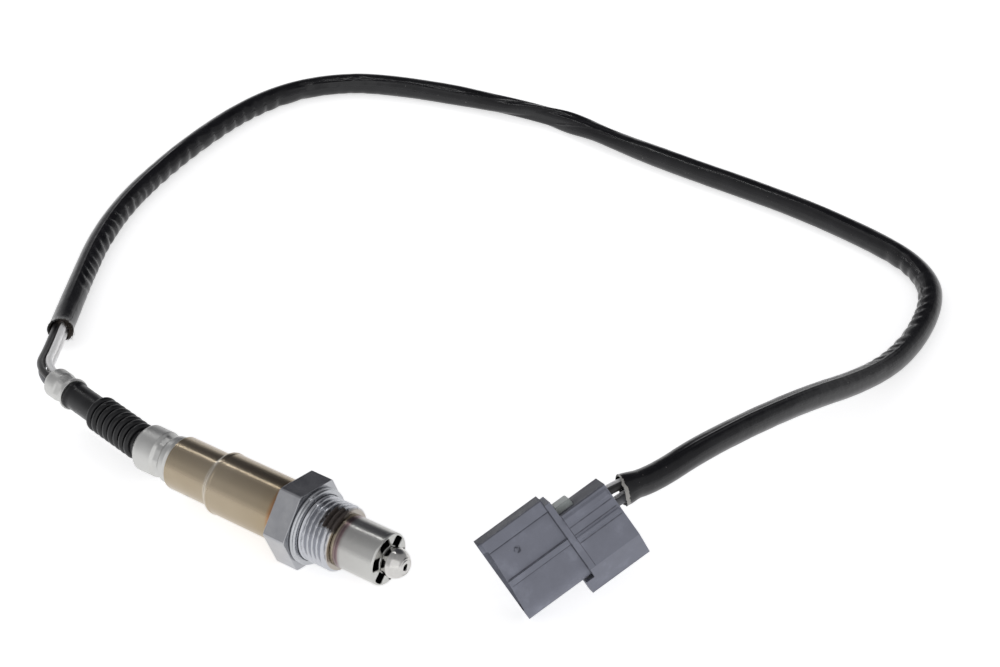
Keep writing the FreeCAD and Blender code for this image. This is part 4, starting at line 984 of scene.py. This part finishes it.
def add_guard():
    """Outer protection tube: thin drawn steel with a rounded rim and six slots round its hub."""
    stations = [(x, GUARD_RADIUS) for x in (GUARD_REAR, GUARD_REAR + 0.15, 14.0, GUARD_END - GUARD_RIM)]
    for step in range(1, 8):
        turn = math.pi / 2 * step / 7
        stations.append((GUARD_END - GUARD_RIM * (1 - math.sin(turn)),
                         GUARD_RADIUS - GUARD_RIM * (1 - math.cos(turn))))
    deep = [0.0, 0.06, 0.16, 0.3, 0.5]
    cuts = [SLOT_OUTER - part for part in deep] + [5.8, 5.2] + [SLOT_INNER + part for part in reversed(deep)]
    stations += [(GUARD_END, radius) for radius in cuts + [HUB_HOLE + 0.05]] + [(GUARD_END - 0.1, HUB_HOLE)]
    points = []
    for x, radius in stations:
        edge = math.asin(slot_edge(radius) / max(radius, SLOT_INNER))
        rib = TAU / SLOTS - 2 * edge
        shares = [-edge, -0.5 * edge, 0.0, 0.5 * edge] + [edge + rib * part / 8 for part in range(8)]
        points += [around(x, radius, SLOT_PHASE + TAU * slot / SLOTS + share)
                   for slot in range(SLOTS) for share in shares]
    faces = []
    per = len(shares)
    count = per * SLOTS
    for row, ((_, outer), (x, inner)) in enumerate(zip(stations, stations[1:])):
        open_row = x == GUARD_END and outer <= SLOT_OUTER + 1e-6 and inner >= SLOT_INNER - 1e-6
        faces += [face for step, face in enumerate(between(row * count, (row + 1) * count, count))
                  if not (open_row and step % per < 4)]
    mesh = mesh_of("slotted_tube", points, faces)
    work = bmesh.new()
    work.from_mesh(mesh)
    bmesh.ops.delete(work, geom=[vertex for vertex in work.verts if not vertex.link_faces], context="VERTS")
    bmesh.ops.recalc_face_normals(work, faces=work.faces)
    outward = sum(face.calc_center_median().yz.normalized().dot(face.normal.yz) for face in work.faces
                  if face.calc_center_median().x < 0.02)
    if outward < 0:
        bmesh.ops.reverse_faces(work, faces=work.faces)
    work.to_mesh(mesh)
    work.free()
    piece = add_piece("slotted_tube", mesh, "guard_steel", ["outer_protection_tube"], crease=40)
    wall = piece.modifiers.new("wall", "SOLIDIFY")
    wall.thickness = GUARD_WALL * MM
    wall.offset = -1
    wall.use_even_offset = True


def add_dome():
    """Inner tube with a round head: a flat ringed face with its hole stands out of the slotted cap."""
    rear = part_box("inner_protection_tube")[0][0] / MM
    start = math.acos(-math.sqrt(1 - (DOME_NECK / DOME_RADIUS) ** 2))
    end = math.acos((DOME_FACE - DOME_CENTRE) / DOME_RADIUS)
    angles = [start + (end - start) * step / 24 for step in range(25)]
    ball = [(DOME_CENTRE + DOME_RADIUS * math.cos(angle), DOME_RADIUS * math.sin(angle)) for angle in angles]
    face_radius = ball[-1][1]
    outline = [(rear, 3.1), (rear, 6.7), (rear + 0.3, 6.7), (rear + 0.3, DOME_NECK)] + ball
    outline += rounded([
        (0.02, face_radius - 0.12, 0.05), (-0.10, face_radius - 0.3, 0.08), (0.1, face_radius - 0.5, 0.12),
        (0.1, 1.0, 0.15), (-0.2, 0.85, 0.05), (-0.5, 0.85)], 3, DOME_FACE)
    outline += [(DOME_FACE - 0.5, 1.9), (DOME_CENTRE + 1.5, 3.3), (DOME_CENTRE, 3.7), (GUARD_END - 0.3, 3.1)]
    outline = [Vector(point) for point in outline]
    piece = turned("ringed_dome", outline, "guard_steel", ["inner_protection_tube"], steps=112, crease=30)
    piece.data.materials[0] = finishes["dome_steel"]


# Tubes, collar, boot and ferrule

STEP_FRONT = -32.6
STEP_REAR = -33.5
HOUSING_REAR = -47.7
COLLAR_LENGTH = 13.4
COLLAR_REAR = HOUSING_REAR - COLLAR_LENGTH


def add_housing():
    """Stepped tube with a rolled shoulder that stands slightly proud."""
    outline = rounded([
        (-8.75, 8.1), (-8.75, 8.6, 0.12), (STEP_FRONT + 1.5, 8.6, 0.3), (STEP_FRONT + 1.1, 8.74, 0.3),
        (STEP_FRONT + 0.2, 8.74, 0.45), (STEP_REAR, 7.5, 0.3), (HOUSING_REAR, 7.5, 0.18),
        (HOUSING_REAR, 7.0, 0.15), (STEP_REAR + 0.2, 7.0), (STEP_FRONT + 0.3, 8.1)], 7)
    turned("heat_tinted_tube", outline, "tinted_steel", ["housing_tube"], steps=160)


def collar_reach(x, radius, angle):
    """Eight flats pressed into the collar's waist."""
    return pressed(x, radius, angle + 0.2, 5.6, HOUSING_REAR - 4.75, 1.1, 8, 5.66)


def add_collar():
    outline = rounded([
        (4, 5.45), (4, 6.95, 0.2), (0.05, 6.95), (-0.3, 6.75, 0.2), (-0.75, 6.0, 0.35), (-1.6, 6.62, 0.6),
        (-2.9, 6.62, 0.6), (-4.0, 5.85, 0.6), (-5.5, 5.85, 0.6), (-6.4, 6.5, 0.45),
        (-COLLAR_LENGTH + 1.3, 6.5, 0.9), (-COLLAR_LENGTH, 5.3, 0.2), (-COLLAR_LENGTH, 4.85),
        (-COLLAR_LENGTH + 1.2, 6.0), (-6.5, 6.0), (-5.5, 5.45), (-4.5, 5.45)], 7, HOUSING_REAR)
    turned("rolled_collar", spaced(outline, 0.35), "collar_steel", ["crimp_collar"], steps=160,
           reach=collar_reach)


BELLOWS_FIRST = 2.2
BELLOWS_PITCH = 2.45
BELLOWS_RINGS = 8
BELLOWS_ROOT = 4.2
BELLOWS_CREST = 5.2
BELLOWS_SWELL = 0.42
NECK_RADIUS = 3.9
NECK_END = 33.9
FERRULE_LENGTH = 9.3


def bellows_outline():
    """Outside of the boot in the tail's frame, from the collar to the neck's end."""
    points = [Vector((0.0, BELLOWS_ROOT)), Vector((-BELLOWS_FIRST + 0.5, BELLOWS_ROOT))]
    samples = 14
    for ring in range(BELLOWS_RINGS):
        middle = BELLOWS_FIRST + (ring + 0.5) * BELLOWS_PITCH
        for sample in range(samples + 1):
            turn = math.pi * sample / samples
            points.append(Vector((-middle + BELLOWS_SWELL * BELLOWS_PITCH * math.cos(turn),
                                  BELLOWS_ROOT + (BELLOWS_CREST - BELLOWS_ROOT) * math.sin(turn))))
    last = BELLOWS_FIRST + BELLOWS_RINGS * BELLOWS_PITCH
    points += rounded([
        (-last, BELLOWS_ROOT), (-last - 0.5, NECK_RADIUS + 0.02, 0.4), (-NECK_END + 1.0, NECK_RADIUS),
        (-NECK_END + 0.7, NECK_RADIUS + 0.32, 0.1), (-NECK_END + 0.05, NECK_RADIUS + 0.32, 0.1),
        (-NECK_END, NECK_RADIUS - 0.05), (-NECK_END - 0.1, 3.3)])[1:]
    return points


def add_boot():
    outline = bellows_outline()
    outline += [Vector(point) for point in ((-42, 3.3), (-42, 3.05), (-21.8, 3.05), (-21.6, 3.4), (0, 3.4))]
    rings = turned_rings(spaced(outline, 1.6), 96, TAIL)
    plug = rounded([
        (-54.6, 3.4), (-54.6, 5.95, 0.4), (COLLAR_REAR + 1.6, 5.95, 0.5), (COLLAR_REAR + 0.9, 4.75, 0.3),
        (-60.4, 4.2), (-60.4, 3.4)])
    mesh = join_meshes("corrugated_boot", [skin("tail", rings), skin("plug", turned_rings(plug, 96))])
    add_piece("corrugated_boot", mesh, "black_rubber", ["bellows_boot"], crease=50)


def ferrule_reach(x, radius, angle):
    """Six flats pressed into the ferrule's waist."""
    return pressed(x, radius, angle, 3.8, -NECK_END - 3.2, 1.3, 6, 3.62)


def add_ferrule():
    outline = rounded([
        (0, 3.65), (0, 4.62, 0.12), (-0.7, 4.62, 0.2), (-1.0, 4.3, 0.2), (-1.9, 4.3, 0.3), (-2.3, 4.05, 0.3),
        (-3.6, 4.05, 0.4), (-4.4, 4.3, 0.4), (-FERRULE_LENGTH + 0.9, 4.3, 0.6), (-FERRULE_LENGTH, 3.6, 0.15),
        (-FERRULE_LENGTH, 3.2), (-FERRULE_LENGTH + 0.6, 3.6)], 6, -NECK_END)
    turned("crimped_ferrule", spaced(outline, 0.4), "collar_steel", ["end_ferrule"], steps=96, place=TAIL,
           reach=ferrule_reach)


# Plug

def cut_back(mesh, corners, low, high):
    """Takes a prism, drawn counter-clockwise in the plug's X and Y between two heights, out of a mesh."""
    points = [PLUG @ Vector((x, y, z)) for z in (low, high) for x, y in corners]
    count = len(corners)
    faces = [tuple(reversed(range(count))), tuple(range(count, 2 * count))] + between(0, count, count)
    prism = mesh_of("prism", points, faces)
    body, tool = put("body", mesh), put("tool", prism)
    cutting = body.modifiers.new("cut", "BOOLEAN")
    cutting.operation = "DIFFERENCE"
    cutting.solver = "EXACT"
    cutting.object = tool
    answer = bpy.data.meshes.new_from_object(body.evaluated_get(bpy.context.evaluated_depsgraph_get()))
    for helper in (body, tool):
        bpy.data.objects.remove(helper)
    bpy.data.meshes.remove(prism)
    return answer


def softened_copy(name, node, slot, width, notch=None):
    """Copy of a CAD node's mesh, its edges rounded, with a prism cut out where one is given."""
    mesh = nodes[node].data.copy()
    mesh.name = name
    work = bmesh.new()
    work.from_mesh(mesh)
    bmesh.ops.remove_doubles(work, verts=work.verts, dist=0.02 * MM)
    if notch:
        work.to_mesh(mesh)
        mesh = cut_back(mesh, *notch)
        work.clear()
        work.from_mesh(mesh)
        bmesh.ops.remove_doubles(work, verts=work.verts, dist=0.005 * MM)
    bmesh.ops.dissolve_limit(work, angle_limit=math.radians(2), verts=work.verts, edges=work.edges)
    work.to_mesh(mesh)
    work.free()
    piece = add_piece(name, mesh, slot, [node], crease=30)
    bevel = piece.modifiers.new("edges", "BEVEL")
    bevel.width = width * MM
    bevel.segments = 2
    bevel.limit_method = "ANGLE"
    bevel.angle_limit = math.radians(40)
    bevel.harden_normals = True
    return piece


MOUTH_NOTCH = [(1.0, 8.8), (-0.2, 8.5), (-0.8, 3.0), (-1.2, -3.0), (-1.45, -8.2), (-1.25, -9.0), (1.0, -9.0)]


def add_plug():
    return [softened_copy("plug_housing", "connector_housing", "plug_plastic", 0.18, (MOUTH_NOTCH, 4.0, 8.5)),
            softened_copy("plug_lock", "connector_retainer", "lock_plastic", 0.2)]


# CAD pieces that keep their shape

CAD_FINISHES = {
    "element_ceramic": ["zirconia_element"], "talc": ["talc_seal"],
    "insulator_ceramic": ["lower_insulator", "upper_insulator", "contact_holder"],
    "contact_steel": ["contact_spring_" + letter for letter in "abcd"],
    "pin_metal": ["terminal_pin_" + letter for letter in "abcd"],
    "seal_rubber": ["wire_grommet"] + ["wire_seal_" + letter for letter in "abcd"],
}


def finish_cad_nodes():
    for slot, names in CAD_FINISHES.items():
        for name in names:
            for holder in nodes[name].material_slots:
                holder.material = finishes[slot]


# The scene

bpy.context.scene.view_settings.view_transform = "Standard"
add_camera()
add_world()
add_floor()
add_light("strip", (-0.59, 0.27, 1.01), 0.03, 1.2, 1.0)
add_light("front", (0.7, -1.0, 0.55), 1.5, 1.5, 3)
finishes = {name: make(name, *values).material for name, make, *values in FINISHES}
finish_cad_nodes()

plug_pieces = add_plug()
add_wires()
centre_line = read_line(LEAD[:2] + [LEAD[1].lerp(LEAD[2], FERRULE_INSIDE / FERRULE_EXIT)] + LEAD[2:])
sleeve_start = nearest(centre_line, LEAD[3].lerp(LEAD[4], 0.5))
sleeve_end = nearest(centre_line, LEAD[-3].lerp(LEAD[-2], 0.93))
sleeve_line = even_line(centre_line[sleeve_start:sleeve_end + 1], SLEEVE_ROW)
add_sleeve(sleeve_line)
add_fibres(sleeve_line)

add_shell()
add_gasket()
add_guard()
add_dome()
add_housing()
add_collar()
add_boot()
add_ferrule()
